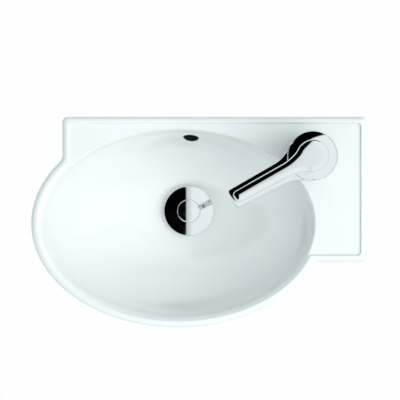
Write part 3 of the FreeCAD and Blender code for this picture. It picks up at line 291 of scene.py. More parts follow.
class Link:
    """Output of a node; Python's operators add Math nodes behind it."""

    def __init__(self, finish, socket):
        self.finish = finish
        self.socket = socket

    def maths(self, operation, first, second):
        return self.finish.node("ShaderNodeMath", {"operation": operation}, {0: first, 1: second})

    def __add__(self, other):
        return self.maths("ADD", self, other)

    __radd__ = __add__

    def __sub__(self, other):
        return self.maths("SUBTRACT", self, other)

    def __rsub__(self, other):
        return self.maths("SUBTRACT", other, self)

    def __mul__(self, other):
        return self.maths("MULTIPLY", self, other)

    __rmul__ = __mul__

    def __lt__(self, other):
        return self.maths("LESS_THAN", self, other)

    def __gt__(self, other):
        return self.maths("GREATER_THAN", self, other)

    def larger(self, other):
        return self.maths("MAXIMUM", self, other)


class Finish:
    """A node tree under construction, for a material or the world."""

    def __init__(self, owner):
        self.owner = owner
        owner.use_nodes = True
        self.tree = owner.node_tree
        self.tree.nodes.clear()

    def node(self, kind, settings=None, sockets=None, output=0):
        """Add a node: its settings first, then the values or links of its sockets."""
        made = self.tree.nodes.new(kind)
        for name, value in (settings or {}).items():
            setattr(made, name, value)
        for key, value in (sockets or {}).items():
            if isinstance(value, Link):
                self.tree.links.new(value.socket, made.inputs[key])
            else:
                made.inputs[key].default_value = value
        return Link(self, made.outputs[output]) if len(made.outputs) else None

    def place(self):
        """Where a point of the piece is, carried along when the piece moves."""
        return self.node("ShaderNodeTexCoord", output="Object")

    def rays(self):
        """Whether a ray comes from the camera, off a mirror or through something clear."""
        return [self.node("ShaderNodeLightPath", output=name)
                for name in ("Is Camera Ray", "Is Glossy Ray", "Is Transmission Ray")]

    def stretched(self, x, y, z):
        return self.node("ShaderNodeMapping", None, {"Vector": self.place(), "Scale": (x, y, z)})

    def parts_of(self, vector):
        return [self.node("ShaderNodeSeparateXYZ", None, {0: vector}, axis) for axis in range(3)]

    def noise(self, vector, scale, detail=2.0):
        return self.node("ShaderNodeTexNoise", None, {"Vector": vector, "Scale": scale, "Detail": detail})

    def levels(self, value, low, high):
        """Spread the part of a value between two levels over the range from 0 to 1."""
        return self.node("ShaderNodeMapRange", {"clamp": True}, {0: value, 1: low, 2: high})

    def mixed(self, factor, first, second):
        sockets = {0: factor, 6: solid(first), 7: solid(second)}
        return self.node("ShaderNodeMix", {"data_type": "RGBA"}, sockets, output=2)

    def bump(self, height, strength, distance):
        return self.node("ShaderNodeBump", None,
                         {"Height": height, "Strength": strength, "Distance": distance})

    def surface(self, **sockets):
        named = {name.replace("_", " ").title().replace("Ior", "IOR"): value
                 for name, value in sockets.items()}
        shader = self.node("ShaderNodeBsdfPrincipled", None, named)
        self.node("ShaderNodeOutputMaterial", None, {"Surface": shader})
        return self.owner


def solid(value):
    """A colour as four numbers; links stay as they are."""
    return value if isinstance(value, Link) else (*value, 1.0)


def new_finish(name):
    return Finish(bpy.data.materials.new(name))


def shade(value, factor):
    return tuple(part * factor for part in value)


def glazed_china(colours, hole):
    """White vitreous china under a clear glaze; inside the overflow's bore it is painted near-black, as
    painted shade of the deep duct, and left matt without coat.
    """
    finish = new_finish("glazed_china")
    place = finish.place()
    pooling = finish.levels(finish.noise(place, 11.0, 3.0), 0.35, 0.68)
    pinholes = finish.levels(finish.noise(place, 900.0, 1.0), 0.80, 0.84)
    across, back, up = finish.parts_of(place)
    # Mask of the overflow's bore that takes the near-black painted shade, fading in at the bore's edge.
    beside = across - (foot_of("waste_body").x + hole.right)
    above = up - hole.height
    bare = hole.radius + hole.shade_margin
    inside = finish.levels(beside * beside + above * above, (bare + hole.fade) ** 2, bare ** 2)
    inside = inside * (back > -hole.front) * (back < -hole.rear)
    white = finish.mixed(pooling, colours.glaze, colours.glaze_pool)
    white = finish.mixed(pinholes * 0.25, white, shade(colours.glaze_pool, 0.8))
    # Painted shade: the bore is painted near-black in place of the dark of the deep duct.
    white = finish.mixed(inside, white, colours.overflow_painted_shade)
    ripple = finish.noise(place, 34.0, 1.0) + finish.noise(place, 120.0, 1.0) * 0.2
    return finish.surface(
        base_color=white,
        # In the bore with the painted shade the surface is also matt and has no coat.
        roughness=(0.16 + 0.10 * pooling).larger(0.9 * inside),
        normal=finish.bump(ripple, 0.05, 0.002),
        coat_weight=(0.85 - 0.15 * pooling) * (1 - inside),
        coat_roughness=0.04,
        coat_ior=1.5,
    )


def polished_chrome(colours):
    """Bright plating with the faint haze and hairlines of wiped metal."""
    finish = new_finish("polished_chrome")
    place = finish.place()
    haze = finish.levels(finish.noise(place, 55.0, 4.0), 0.45, 0.75)
    hairlines = finish.levels(finish.noise(finish.stretched(900.0, 90.0, 900.0), 1.0, 2.0), 0.68, 0.80)
    metal = finish.mixed(haze * 0.35, colours.chrome, shade(colours.chrome, 0.93))
    return finish.surface(
        base_color=metal,
        metallic=1.0,
        roughness=0.035 + 0.035 * haze + 0.05 * hairlines,
        normal=finish.bump(finish.noise(place, 70.0, 1.0), 0.015, 0.001),
    )


def turned_metal(name, value, rough, ring_scale):
    """Machined metal with fine tool marks and small stains."""
    finish = new_finish(name)
    place = finish.place()
    stain = finish.levels(finish.noise(place, 80.0, 4.0), 0.42, 0.70)
    marks = finish.noise(finish.stretched(60.0, 60.0, ring_scale), 1.0, 3.0)
    metal = finish.mixed(stain * 0.55, value, shade(value, 0.72))
    return finish.surface(
        base_color=metal,
        metallic=1.0,
        roughness=rough + 0.14 * stain + 0.10 * marks,
        normal=finish.bump(marks, 0.12, 0.0006),
    )


def seal_rubber(colours):
    """Black moulded rubber with a fine matt skin and a trace of dust."""
    finish = new_finish("seal_rubber")
    place = finish.place()
    dust = finish.levels(finish.noise(place, 130.0, 5.0), 0.45, 0.78)
    skin = finish.noise(place, 2400.0, 2.0)
    return finish.surface(
        base_color=finish.mixed(dust * 0.4, colours.rubber, shade(colours.rubber, 3.0)),
        roughness=0.62 + 0.20 * dust,
        normal=finish.bump(skin, 0.25, 0.0003),
        specular_ior_level=0.35,
    )


def moulded_plastic(colours):
    """Grey moulded plastic with a lightly sparked surface."""
    finish = new_finish("moulded_plastic")
    place = finish.place()
    flow = finish.levels(finish.noise(place, 60.0, 3.0), 0.35, 0.70)
    spark = finish.noise(place, 1500.0, 2.0)
    return finish.surface(
        base_color=finish.mixed(flow, colours.plastic, shade(colours.plastic, 0.9)),
        roughness=0.42 + 0.12 * spark,
        normal=finish.bump(spark, 0.12, 0.0003),
    )


def lapped_ceramic(colours):
    """Hard cream ceramic, ground and lapped to a dull mirror."""
    finish = new_finish("lapped_ceramic")
    place = finish.place()
    grain = finish.noise(place, 700.0, 4.0)
    cloud = finish.levels(finish.noise(place, 90.0, 2.0), 0.35, 0.65)
    return finish.surface(
        base_color=finish.mixed(cloud, colours.disc, shade(colours.disc, 0.93)),
        roughness=0.22 + 0.12 * grain,
        normal=finish.bump(grain, 0.05, 0.0003),
    )


def floor_finish(bare):
    """Pale matt floor that looks white and still takes a shadow; seen from below it is clear."""
    finish = new_finish("pale_floor")
    camera, mirror, through = finish.rays()
    seen = camera.larger(mirror).larger(through)
    grain = finish.noise(finish.place(), 40.0, 3.0)
    matt = finish.node("ShaderNodeBsdfDiffuse", None,
                       {"Color": finish.mixed(grain * 0.1, bare, shade(bare, 0.9))})
    white = finish.node("ShaderNodeEmission", None, {"Strength": 1.0})
    pale = finish.node("ShaderNodeMixShader", None, {0: seen * 0.97, 1: matt, 2: white})
    below = finish.node("ShaderNodeNewGeometry", output="Backfacing")
    clear = finish.node("ShaderNodeBsdfTransparent")
    surface = finish.node("ShaderNodeMixShader", None, {0: below, 1: pale, 2: clear})
    finish.node("ShaderNodeOutputMaterial", None, {"Surface": surface})
    return finish.owner


# Shapes


def scene_object(name, mesh):
    thing = bpy.data.objects.new(name, mesh)
    bpy.context.scene.collection.objects.link(thing)
    return thing


def dress(finish, *names):
    """Give CAD nodes a finish."""
    for name in names:
        node = frame["nodes"][name]
        node.data.materials.clear()
        node.data.materials.append(finish)


def foot_of(node):
    """Middle of the underside of a CAD node."""
    low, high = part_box(node)
    return Vector(((low.x + high.x) / 2, (low.y + high.y) / 2, low.z))


def stand_in(piece, finish, body, slot, *nodes):
    """Let a new piece take the place of CAD nodes, on their body and with their finish."""
    piece.data.materials.append(finish)
    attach(piece, body)
    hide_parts(*nodes)
    return piece


def smooth_union(first, second, blend):
    """Two distance fields joined with a soft hollow between them."""
    part = np.clip(0.5 + 0.5 * (second - first) / blend, 0, 1)
    return second + (first - second) * part - blend * part * (1 - part)


def smooth_common(first, second, blend):
    return -smooth_union(-first, -second, blend)


def smooth_cut(first, second, blend):
    return -smooth_union(-first, second, blend)


def upright(forward, side, height, at, radius, low, high):
    """Distance to an upright cylinder."""
    across = np.hypot(forward - at[0], side - at[1]) - radius
    return np.maximum(across, np.maximum(low - height, height - high))


def slope_of(field, points, small):
    """Gradient of a distance field."""
    slopes = []
    for axis in range(3):
        step = np.zeros(3)
        step[axis] = small
        ahead = field(*(points + step).T)
        behind = field(*(points - step).T)
        slopes.append((ahead - behind) / (2 * small))
    return np.stack(slopes, axis=1)


def settle_on(field, points, small, rounds):
    """Move points along the gradient until they lie on the surface."""
    for _ in range(rounds):
        slope = slope_of(field, points, small)
        steep = np.maximum((slope * slope).sum(axis=1), 0.05)
        points = points - slope * (field(*points.T) / steep)[:, None]
    return points


def cut_cells(depth):
    """Cells of a grid that the surface passes through, numbered, with the quads between them."""
    inside = depth < 0
    corners = [inside[i:inside.shape[0] - 1 + i, j:inside.shape[1] - 1 + j, k:inside.shape[2] - 1 + k]
               for i in (0, 1) for j in (0, 1) for k in (0, 1)]
    count = sum(corner.astype(np.int8) for corner in corners)
    cells = np.argwhere((count > 0) & (count < 8))
    number = np.full(count.shape, -1)
    number[tuple(cells.T)] = np.arange(len(cells))
    quads = []
    for axis in range(3):
        first, second = [other for other in range(3) if other != axis]
        before = np.take(inside, np.arange(inside.shape[axis] - 1), axis)
        after = np.take(inside, np.arange(1, inside.shape[axis]), axis)
        edges = np.argwhere(before != after)
        leaving = before[tuple(edges.T)]
        turn = leaving if axis != 1 else ~leaving
        around = []
        for step_first, step_second in ((1, 1), (0, 1), (0, 0), (1, 0)):
            cell = edges.copy()
            cell[:, first] -= step_first
            cell[:, second] -= step_second
            around.append(number[tuple(cell.T)])
        quad = np.stack(around, axis=1)
        quads.append(np.where(turn[:, None], quad, quad[:, ::-1]))
    return cells, np.concatenate(quads)


def skin(name, field, low, high, grain):
    """Mesh of the surface of a distance field, with even faces that lie exactly on it."""
    # The grid starts a broken number of cells early, so that level faces fall between its points.
    before, after = 2.13 * grain, 3 * grain
    small = grain / 8
    axes = [np.arange(start - before, end + after, grain) for start, end in zip(low, high)]
    depth = field(*np.meshgrid(*axes, indexing="ij"))
    cells, quads = cut_cells(depth)
    points = np.stack([axes[axis][cells[:, axis]] + grain / 2 for axis in range(3)], axis=1)
    points = settle_on(field, points, small, 4)
    ends = np.concatenate([quads[:, [0, 1]], quads[:, [1, 2]], quads[:, [2, 3]], quads[:, [3, 0]]])
    for _ in range(3):
        total = np.zeros_like(points)
        near = np.zeros(len(points))
        for start, end in (ends.T, ends.T[::-1]):
            np.add.at(total, start, points[end])
            np.add.at(near, start, 1)
        points = settle_on(field, total / near[:, None], small, 2)
    mesh = bpy.data.meshes.new(name)
    mesh.from_pydata(points.tolist(), [], quads.tolist())
    mesh.shade_smooth()
    return mesh


def tap_frame():
    """From the tap's own frame, forward along the spout and up from the ledge, to the basin's."""
    across = Vector((0, 0, 1)).cross(SPOUT_WAY)
    turn = Matrix((SPOUT_WAY, across, Vector((0, 0, 1)))).transposed().to_4x4()
    sizes = bpy.context.scene.tap_sizes
    foot = Vector((PIVOT.x, PIVOT.y, PIVOT.z - sizes.pivot_height))
    return Matrix.Translation(foot) @ turn


def spout_top(sizes, forward):
    """Upper side of the spout, falling evenly from the head to the tip."""
    fall = (sizes.tip_top - sizes.root_top) / (sizes.reach - sizes.head_radius)
    return sizes.root_top + fall * (forward - sizes.head_radius)


def spout_field(sizes, forward, side, height):
    """The spout alone: a tapering bar with an arched top, whose underside rises to a level end."""
    start = sizes.head_radius
    level = sizes.reach - sizes.level_length
    climb = np.clip((forward - start) / (level - start), 0, 1)
    climb = climb * climb * (3 - 2 * climb)
    half = sizes.root_half + (sizes.tip_half - sizes.root_half) * forward / sizes.reach
    most = sizes.neck_round * sizes.neck_end / (sizes.neck_round + sizes.head_radius)
    inward = np.clip(sizes.neck_end - forward, 0, most)
    half = half + sizes.neck_round - np.sqrt(sizes.neck_round ** 2 - inward ** 2)
    arch = sizes.arch + (sizes.neck_arch - sizes.arch) * (inward / most) ** 2
    bend = half * (1 + arch ** 2) / (2 * arch)
    low = sizes.root_low + (sizes.tip_low - sizes.root_low) * climb
    above = np.maximum(height - spout_top(sizes, forward) + bend, 0)
    body = smooth_common(np.abs(side) - half, np.hypot(side, above) - bend, sizes.upper_round)
    body = smooth_common(body, low - height, sizes.edge_round)
    return np.maximum(smooth_common(body, forward - sizes.reach, sizes.tip_round), -forward)


def column_field(sizes, forward, side, height):
    """Column and head: a slightly flared column under a shallow dome."""
    around = np.hypot(forward, side)
    rise = np.clip((height - sizes.foot_height) / (sizes.flare_height - sizes.foot_height), 0, 1)
    column = around - sizes.base_radius - (sizes.head_radius - sizes.base_radius) * rise
    dome = np.hypot(around, np.maximum(height - sizes.pivot_height, 0)) - sizes.dome_radius
    return smooth_common(column, dome, sizes.rim_round)


def outside_field(sizes, forward, side, height):
    """Outside of column, dome and spout in one."""
    whole = smooth_union(column_field(sizes, forward, side, height),
                         spout_field(sizes, forward, side, height), sizes.neck_blend)
    boss = upright(forward, side, height, (sizes.outlet_forward, 0), sizes.boss_radius,
                   sizes.outlet_face, sizes.tip_low + sizes.edge_round)
    whole = smooth_union(whole, boss, sizes.boss_blend)
    return smooth_common(whole, sizes.foot_height - height, sizes.foot_round)


def casting_field(sizes):
    """Column and spout of the tap, with the dome's seat and the bores that show."""
    def field(forward, side, height):
        body = outside_field(sizes, forward, side, height)
        outlet = upright(forward, side, height, (sizes.outlet_forward, 0), sizes.outlet_radius,
                         0.0, sizes.outlet_face + sizes.outlet_depth)
        chamber = upright(forward, side, height, (0, 0), sizes.bore_radius, sizes.bore_floor,
                          sizes.joint_height)
        seat = upright(forward, side, height, (0, 0), sizes.head_radius + sizes.seam, sizes.joint_height,
                       sizes.pivot_height + sizes.dome_radius)
        for hollow in (outlet, chamber, seat):
            body = smooth_cut(body, hollow, sizes.seat_edge)
        return body
    return field


def dome_field(sizes):
    """The dome over the joint: a thin cap, hollow inside and open on top."""
    def field(forward, side, height):
        around = np.hypot(forward, side)
        within = np.maximum(around - sizes.head_radius, sizes.joint_height + sizes.seam - height)
        cap = smooth_common(outside_field(sizes, forward, side, height), within, sizes.seat_edge)
        hollow = np.hypot(around, height - sizes.pivot_height) - sizes.dome_radius + sizes.crown_wall
        hollow = np.maximum(hollow, around - sizes.crown_bore)
        cap = smooth_cut(cap, hollow, sizes.seat_edge)
        return smooth_cut(cap, around - sizes.crown_opening, sizes.seat_edge)
    return field


def lever_top(tap, sizes):
    """Height of the lever's upper side over the tap axis."""
    return tap.pivot_height + tap.dome_radius + sizes.dome_gap + sizes.disc_thick


def lever_field(tap, sizes):
    """The lever: a flat spoon in plan with soft edges, whose disc is a cap with a hollow underside."""
    under = tap.dome_radius + sizes.dome_gap
    over = under + sizes.disc_thick
    top = lever_top(tap, sizes)
    slant = (math.sin(sizes.lean), math.cos(sizes.lean))
    run_out = 1.4

    def field(forward, side, height):
        lift = height - tap.pivot_height
        part = np.clip(forward / sizes.reach, 0, 1)
        half = sizes.root_half + (sizes.tip_half - sizes.root_half) * part
        most = sizes.neck_round * sizes.neck_end / (sizes.neck_round + sizes.disc_radius)
        inward = np.clip(sizes.neck_end - forward, 0, most)
        inner = np.sqrt(sizes.neck_round ** 2 - inward ** 2)
        corner = sizes.tip_round
        across = (np.abs(side) - half - sizes.neck_round + inner) * inner / sizes.neck_round + corner
        ahead = np.abs(forward - sizes.reach / 2) - sizes.reach / 2 + corner
        arm = np.hypot(np.maximum(across, 0), np.maximum(ahead, 0))
        arm = arm + np.minimum(np.maximum(across, ahead), 0) - corner
        plan = smooth_union(np.hypot(forward, side) - sizes.disc_radius, arm, sizes.blend)
        thick = sizes.root_thick + (sizes.tip_thick - sizes.root_thick) * part
        rolled = sizes.roll * sizes.roll_steep / 3 * np.clip(1 + plan / sizes.roll, 0, run_out) ** 3
        flat = height - top + sizes.fall * part
        upper = flat + rolled
        ball = np.sqrt(forward ** 2 + side ** 2 + lift ** 2) - under
        below_arm = smooth_common(flat + thick, sizes.disc_radius - forward, sizes.under_blend)
        body = smooth_common(plan, upper, sizes.top_round)
        body = smooth_cut(body, smooth_union(ball, below_arm, sizes.under_blend), sizes.edge_round)
        along = forward * slant[0] + lift * slant[1]
        beside = forward * slant[1] - lift * slant[0]
        boss = np.hypot(beside, side) - sizes.boss_radius
        ends = np.maximum(under - sizes.boss_length - along, along - over + sizes.boss_sink)
        body = smooth_union(body, np.maximum(boss, ends), sizes.boss_blend)
        screw = np.hypot(along - over + sizes.screw_depth, beside) - sizes.screw_hole
        screw = np.maximum(screw, side + sizes.screw_end)
        return smooth_cut(body, screw, sizes.screw_edge)
    return field


def thread_wave(x, y, height, pitch):
    """Triangle wave from 0 to 1 that winds up round the axis."""
    turn = height / pitch - np.arctan2(y, x) / (2 * math.pi)
    return np.abs((turn - np.floor(turn)) * 2 - 1)


def waste_field(sizes):
    """The waste: threaded tail with overflow slots and cross-bars under a flange with a wide mouth."""
    top = sizes.tail_length + sizes.flange_thick
    run_out = 1.2

    def field(x, y, height):
        around = np.hypot(x, y)
        in_thread = np.clip((sizes.thread_top - height) / sizes.pitch, 0, 1)
        cut = sizes.thread_depth * (1 - thread_wave(x, y, height, sizes.pitch)) * in_thread
        plain = np.clip((sizes.plain_length - height) / sizes.edge_round, 0, 1)
        cut = cut + (sizes.tail_radius - sizes.plain_radius - cut) * plain
        tail = np.maximum(around - sizes.tail_radius + cut, height - top)
        middle = sizes.tail_length + sizes.flange_thick / 2
        flange = smooth_common(around - sizes.flange_radius,
                               np.abs(height - middle) - sizes.flange_thick / 2, sizes.flange_round)
        outside = smooth_union(tail, flange, sizes.edge_round)
        outside = smooth_common(outside, -height, sizes.edge_round)
        widen = np.clip((height - top + sizes.mouth_depth) / sizes.mouth_depth, 0, run_out)
        bore = around - sizes.bore_radius - (sizes.mouth_radius - sizes.bore_radius) * widen
        body = smooth_cut(outside, bore, sizes.bore_edge)
        level = np.abs(height - sizes.bar_low - sizes.bar_height / 2) - sizes.bar_height / 2
        bars = np.minimum(np.abs(x), np.abs(y)) - sizes.bar_width / 2
        bars = smooth_union(bars, around - sizes.hub_radius, sizes.hub_blend)
        bars = np.maximum(bars, around - sizes.bore_radius - sizes.bar_edge)
        body = smooth_union(body, smooth_common(bars, level, sizes.bar_edge), sizes.bar_edge)
        middle = sizes.slot_low + sizes.slot_height / 2
        slots = smooth_common(np.abs(x) - sizes.slot_width / 2,
                              np.abs(height - middle) - sizes.slot_height / 2, sizes.slot_round)
        body = smooth_cut(body, slots, sizes.edge_round)
        hole = np.maximum(around - sizes.hub_hole, height - sizes.thread_top)
        return smooth_cut(body, hole, sizes.hub_edge)
    return field


def nut_field(corner, height, bore, chamfer):
    """Hexagon nut with turned corners and a bevelled hole, from its underside up."""
    flat = corner * math.cos(math.pi / 6)
    steep = 1.6
    hole_steep = 1 / 1.2

    def field(x, y, up):
        around = np.hypot(x, y)
        sides = [np.abs(x * math.cos(angle) + y * math.sin(angle)) - flat
                 for angle in (math.pi / 6, math.pi / 2, 5 * math.pi / 6)]
        end = np.abs(up - height / 2) - height / 2
        body = np.maximum(np.maximum(np.maximum(*sides[:2]), sides[2]), end)
        bevel = (around - corner + chamfer + (end + chamfer) * steep) / math.hypot(1, steep)
        hole_bevel = (bore - around + (end + chamfer) * hole_steep) / math.hypot(1, hole_steep)
        hole = np.maximum(bore - around, hole_bevel)
        return np.maximum(np.maximum(body, bevel), hole)
    return field


def stud_field(radius, height, pitch, depth):
    """Threaded stud with pointed ends."""
    def field(x, y, up):
        around = np.hypot(x, y)
        cut = depth * (1 - thread_wave(x, y, up, pitch))
        end = np.abs(up - height / 2) - height / 2
        return np.maximum(np.maximum(around - radius + cut, end), around - radius + pitch + end)
    return field


def aerator_field(radius, height, pitch, bar):
    """Insert of the aerator: a ring with two layers of crossed bars."""
    def field(x, y, up):
        around = np.hypot(x, y)
        end = np.abs(up - height / 2) - height / 2
        ring = np.maximum(np.abs(around - radius + bar) - bar, end)
        rows = np.abs((x / pitch) % 1.0 - 0.5) * pitch - bar / 2
        columns = np.abs((y / pitch) % 1.0 - 0.5) * pitch - bar / 2
        lower = np.maximum(np.minimum(rows, columns), np.abs(up - 1.5 * bar) - bar)
        return np.minimum(ring, np.maximum(lower, around - radius + bar))
    return field


def crown_height(sizes, radius):
    """Upper side of the domed waste cover above its underside."""
    drop = math.sqrt(sizes.crown ** 2 - sizes.radius ** 2)
    return sizes.edge - drop + math.sqrt(sizes.crown ** 2 - radius ** 2)


def cover_profile(sizes, floor, boss_end):
    """Half section of the waste cover: recess, crown, rolled edge and the boss round the stem."""
    rim = sizes.disc_radius + sizes.disc_gap
    shoulder = sizes.radius - sizes.rolled
    rim_top = crown_height(sizes, rim)
    fine = sizes.fine_edge
    profile = [(0.0, floor), (rim, floor), (rim, rim_top - fine), (rim + fine, rim_top)]
    crown_steps = 14
    for step in range(1, crown_steps + 1):
        radius = rim + (shoulder - rim) * step / crown_steps
        profile.append((radius, crown_height(sizes, radius)))
    roll_steps = 6
    for step in range(1, roll_steps + 1):
        angle = math.pi / 2 * step / roll_steps
        fall = sizes.rolled * (1 - math.cos(angle))
        profile.append((shoulder + sizes.rolled * math.sin(angle), crown_height(sizes, shoulder) - fall))
    profile += [(sizes.radius, sizes.lower_edge), (sizes.radius - sizes.lower_edge, 0.0)]
    profile += [(sizes.boss_radius, 0.0), (sizes.boss_radius, boss_end)]
    return profile + [(sizes.stem_hole, boss_end), (sizes.stem_hole, 0.0), (0.0, 0.0)]


def centre_profile(sizes, floor):
    """Half section of the disc let into the waste cover."""
    wide = sizes.disc_radius
    profile = [(0.0, floor), (wide - sizes.fine_edge, floor), (wide, floor + sizes.fine_edge),
               (wide, crown_height(sizes, wide) - sizes.disc_edge)]
    steps = 12
    for step in range(steps + 1):
        radius = (wide - sizes.disc_edge) * (1 - step / steps)
        profile.append((radius, crown_height(sizes, radius)))
    return profile


def turned_mesh(name, profile, centre, segments):
    """Mesh turned about an upright axis from (radius, height) points."""
    work = bmesh.new()
    rings = []
    for radius, height in profile:
        if radius < 1e-6:
            rings.append([work.verts.new((centre[0], centre[1], centre[2] + height))] * segments)
            continue
        ring = []
        for index in range(segments):
            angle = 2 * math.pi * index / segments
            ring.append(work.verts.new((centre[0] + radius * math.cos(angle),
                                        centre[1] + radius * math.sin(angle), centre[2] + height)))
        rings.append(ring)
    for lower, upper in zip(rings, rings[1:]):
        for index in range(segments):
            after = (index + 1) % segments
            corners = []
            for vertex in (lower[index], lower[after], upper[after], upper[index]):
                if vertex not in corners:
                    corners.append(vertex)
            work.faces.new(corners)
    bmesh.ops.recalc_face_normals(work, faces=work.faces)
    mesh = bpy.data.meshes.new(name)
    work.to_mesh(mesh)
    work.free()
    mesh.shade_smooth()
    mesh.set_sharp_from_angle(angle=math.radians(50))
    return mesh


def make_nut(name, node, corner, bore, chamfer, turn, grain, finish):
    """A bevelled nut in the place of a CAD nut."""
    low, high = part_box(node)
    height = high.z - low.z
    mesh = skin(name, nut_field(corner, height, bore, chamfer), (-corner, -corner, 0),
                (corner, corner, height), grain)
    mesh.transform(Matrix.Translation(foot_of(node)) @ Matrix.Rotation(turn, 4, "Z"))
    mesh.set_sharp_from_angle(angle=math.radians(35))
    return stand_in(scene_object(name, mesh), finish, "fixed", "brass", node)


# Operators


class BASIN_OT_china(bpy.types.Operator):
    """Glaze the china"""

    bl_idname = "basin.china"
    bl_label = "Glaze the china"

    def execute(self, context):
        dress(glazed_china(context.scene.basin_colours, context.scene.overflow_sizes), "basin")
        return {"FINISHED"}


class BASIN_OT_tap(bpy.types.Operator):
    """Shape the chromed body of the tap and its dome"""

    bl_idname = "basin.tap"
    bl_label = "Shape the tap"

    def execute(self, context):
        sizes = context.scene.tap_sizes
        chrome = polished_chrome(context.scene.basin_colours)
        low = (-sizes.head_radius, -sizes.head_radius, sizes.foot_height)
        high = (sizes.reach, sizes.head_radius, sizes.root_top)
        body = skin("tap_casting", casting_field(sizes), low, high, sizes.grain)
        low = (-sizes.head_radius, -sizes.head_radius, sizes.joint_height)
        high = (sizes.head_radius, sizes.head_radius, sizes.pivot_height + sizes.dome_radius)
        dome = skin("tap_dome", dome_field(sizes), low, high, sizes.grain)
        for mesh in (body, dome):
            mesh.transform(tap_frame())
        stand_in(scene_object("tap_casting", body), chrome, "fixed", "chrome", "tap_body")
        stand_in(scene_object("tap_dome", dome), chrome, "fixed", "chrome", "dome_cap")
        return {"FINISHED"}


class BASIN_OT_lever(bpy.types.Operator):
    """Shape the chromed lever"""

    bl_idname = "basin.lever"
    bl_label = "Shape the lever"

    def execute(self, context):
        tap = context.scene.tap_sizes
        sizes = context.scene.lever_sizes
        reach = sizes.disc_radius + sizes.blend
        low = (-reach, -reach, tap.joint_height)
        high = (sizes.reach, reach, lever_top(tap, sizes))
        mesh = skin("lever_handle", lever_field(tap, sizes), low, high, tap.grain)
        mesh.transform(tap_frame())
        chrome = polished_chrome(context.scene.basin_colours)
        stand_in(scene_object("lever_handle", mesh), chrome, "lever", "chrome", "lever")
        dress(turned_metal("screw_steel", context.scene.basin_colours.steel, 0.3, 900.0), "lever_screw")
        return {"FINISHED"}


class BASIN_OT_waste_cover(bpy.types.Operator):
    """Turn the domed cover of the waste and its centre disc"""

    bl_idname = "basin.waste_cover"
    bl_label = "Turn the waste cover"

    def execute(self, context):
        sizes = context.scene.waste_sizes
        chrome = polished_chrome(context.scene.basin_colours)
        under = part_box("plug_stem")[1].z
        axis = foot_of("plug_cap")
        centre = (axis.x, axis.y, under)
        floor = foot_of("plug_centre_disc").z - under
        profile = cover_profile(sizes, floor, axis.z - under)
        cover = turned_mesh("waste_cover", profile, centre, sizes.segments)
        stand_in(scene_object("waste_cover", cover), chrome, "plug", "chrome", "plug_cap")
        disc = turned_mesh("waste_centre", centre_profile(sizes, floor), centre, sizes.segments)
        stand_in(scene_object("waste_centre", disc), chrome, "plug", "chrome", "plug_centre_disc")
        return {"FINISHED"}


class BASIN_OT_waste(bpy.types.Operator):
    """Finish the waste below its cover"""

    bl_idname = "basin.waste"
    bl_label = "Finish the waste"

    def execute(self, context):
        colours = context.scene.basin_colours
        sizes = context.scene.waste_sizes
        wide = sizes.flange_radius
        top = sizes.tail_length + sizes.flange_thick
        mesh = skin("waste_fitting", waste_field(sizes), (-wide, -wide, 0), (wide, wide, top), sizes.grain)
        mesh.transform(Matrix.Translation(foot_of("waste_body")))
        piece = scene_object("waste_fitting", mesh)
        stand_in(piece, polished_chrome(colours), "fixed", "chrome", "waste_body")
        brass = turned_metal("waste_brass", colours.brass, 0.24, 700.0)
        nuts = context.scene.nut_sizes
        make_nut("waste_nut", "back_nut", nuts.back_nut_radius, sizes.tail_radius - sizes.thread_depth,
                 nuts.chamfer, 0.0, nuts.back_nut_grain, brass)
        dress(brass, "click_cartridge")
        dress(turned_metal("waste_steel", colours.steel, 0.26, 900.0), "plug_stem", "slip_washer")
        dress(seal_rubber(colours), "flange_seal", "tail_seal", "plug_seal")
        return {"FINISHED"}


class BASIN_OT_cartridge(bpy.types.Operator):
    """Finish the cartridge inside the tap"""

    bl_idname = "basin.cartridge"
    bl_label = "Finish the cartridge"

    def execute(self, context):
        colours = context.scene.basin_colours
        dress(moulded_plastic(colours), "cartridge_housing", "cartridge_turret", "disc_carrier")
        dress(lapped_ceramic(colours), "fixed_disc", "moving_disc")
        dress(turned_metal("cartridge_brass", colours.brass, 0.22, 700.0), "cartridge_nut", "cartridge_stem")
        dress(turned_metal("pin_steel", colours.steel, 0.22, 900.0), "stem_pin")
        dress(seal_rubber(colours), "port_seal", "disc_seal")
        return {"FINISHED"}


class BASIN_OT_aerator(bpy.types.Operator):
    """Finish the outlet of the spout"""

    bl_idname = "basin.aerator"
    bl_label = "Finish the outlet"

    def execute(self, context):
        colours = context.scene.basin_colours
        nuts = context.scene.nut_sizes
        low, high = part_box("aerator_insert")
        radius = (high.x - low.x) / 2
        height = high.z - low.z
        field = aerator_field(radius, height, nuts.mesh_pitch, nuts.mesh_bar)
        mesh = skin("aerator_mesh", field, (-radius, -radius, 0), (radius, radius, height),
                    nuts.mesh_bar / 2)
        mesh.transform(Matrix.Translation(foot_of("aerator_insert")))
        piece = scene_object("aerator_mesh", mesh)
        stand_in(piece, moulded_plastic(colours), "fixed", "plastic", "aerator_insert")
        dress(polished_chrome(colours), "aerator_sleeve")
        dress(seal_rubber(colours), "aerator_seal")
        return {"FINISHED"}


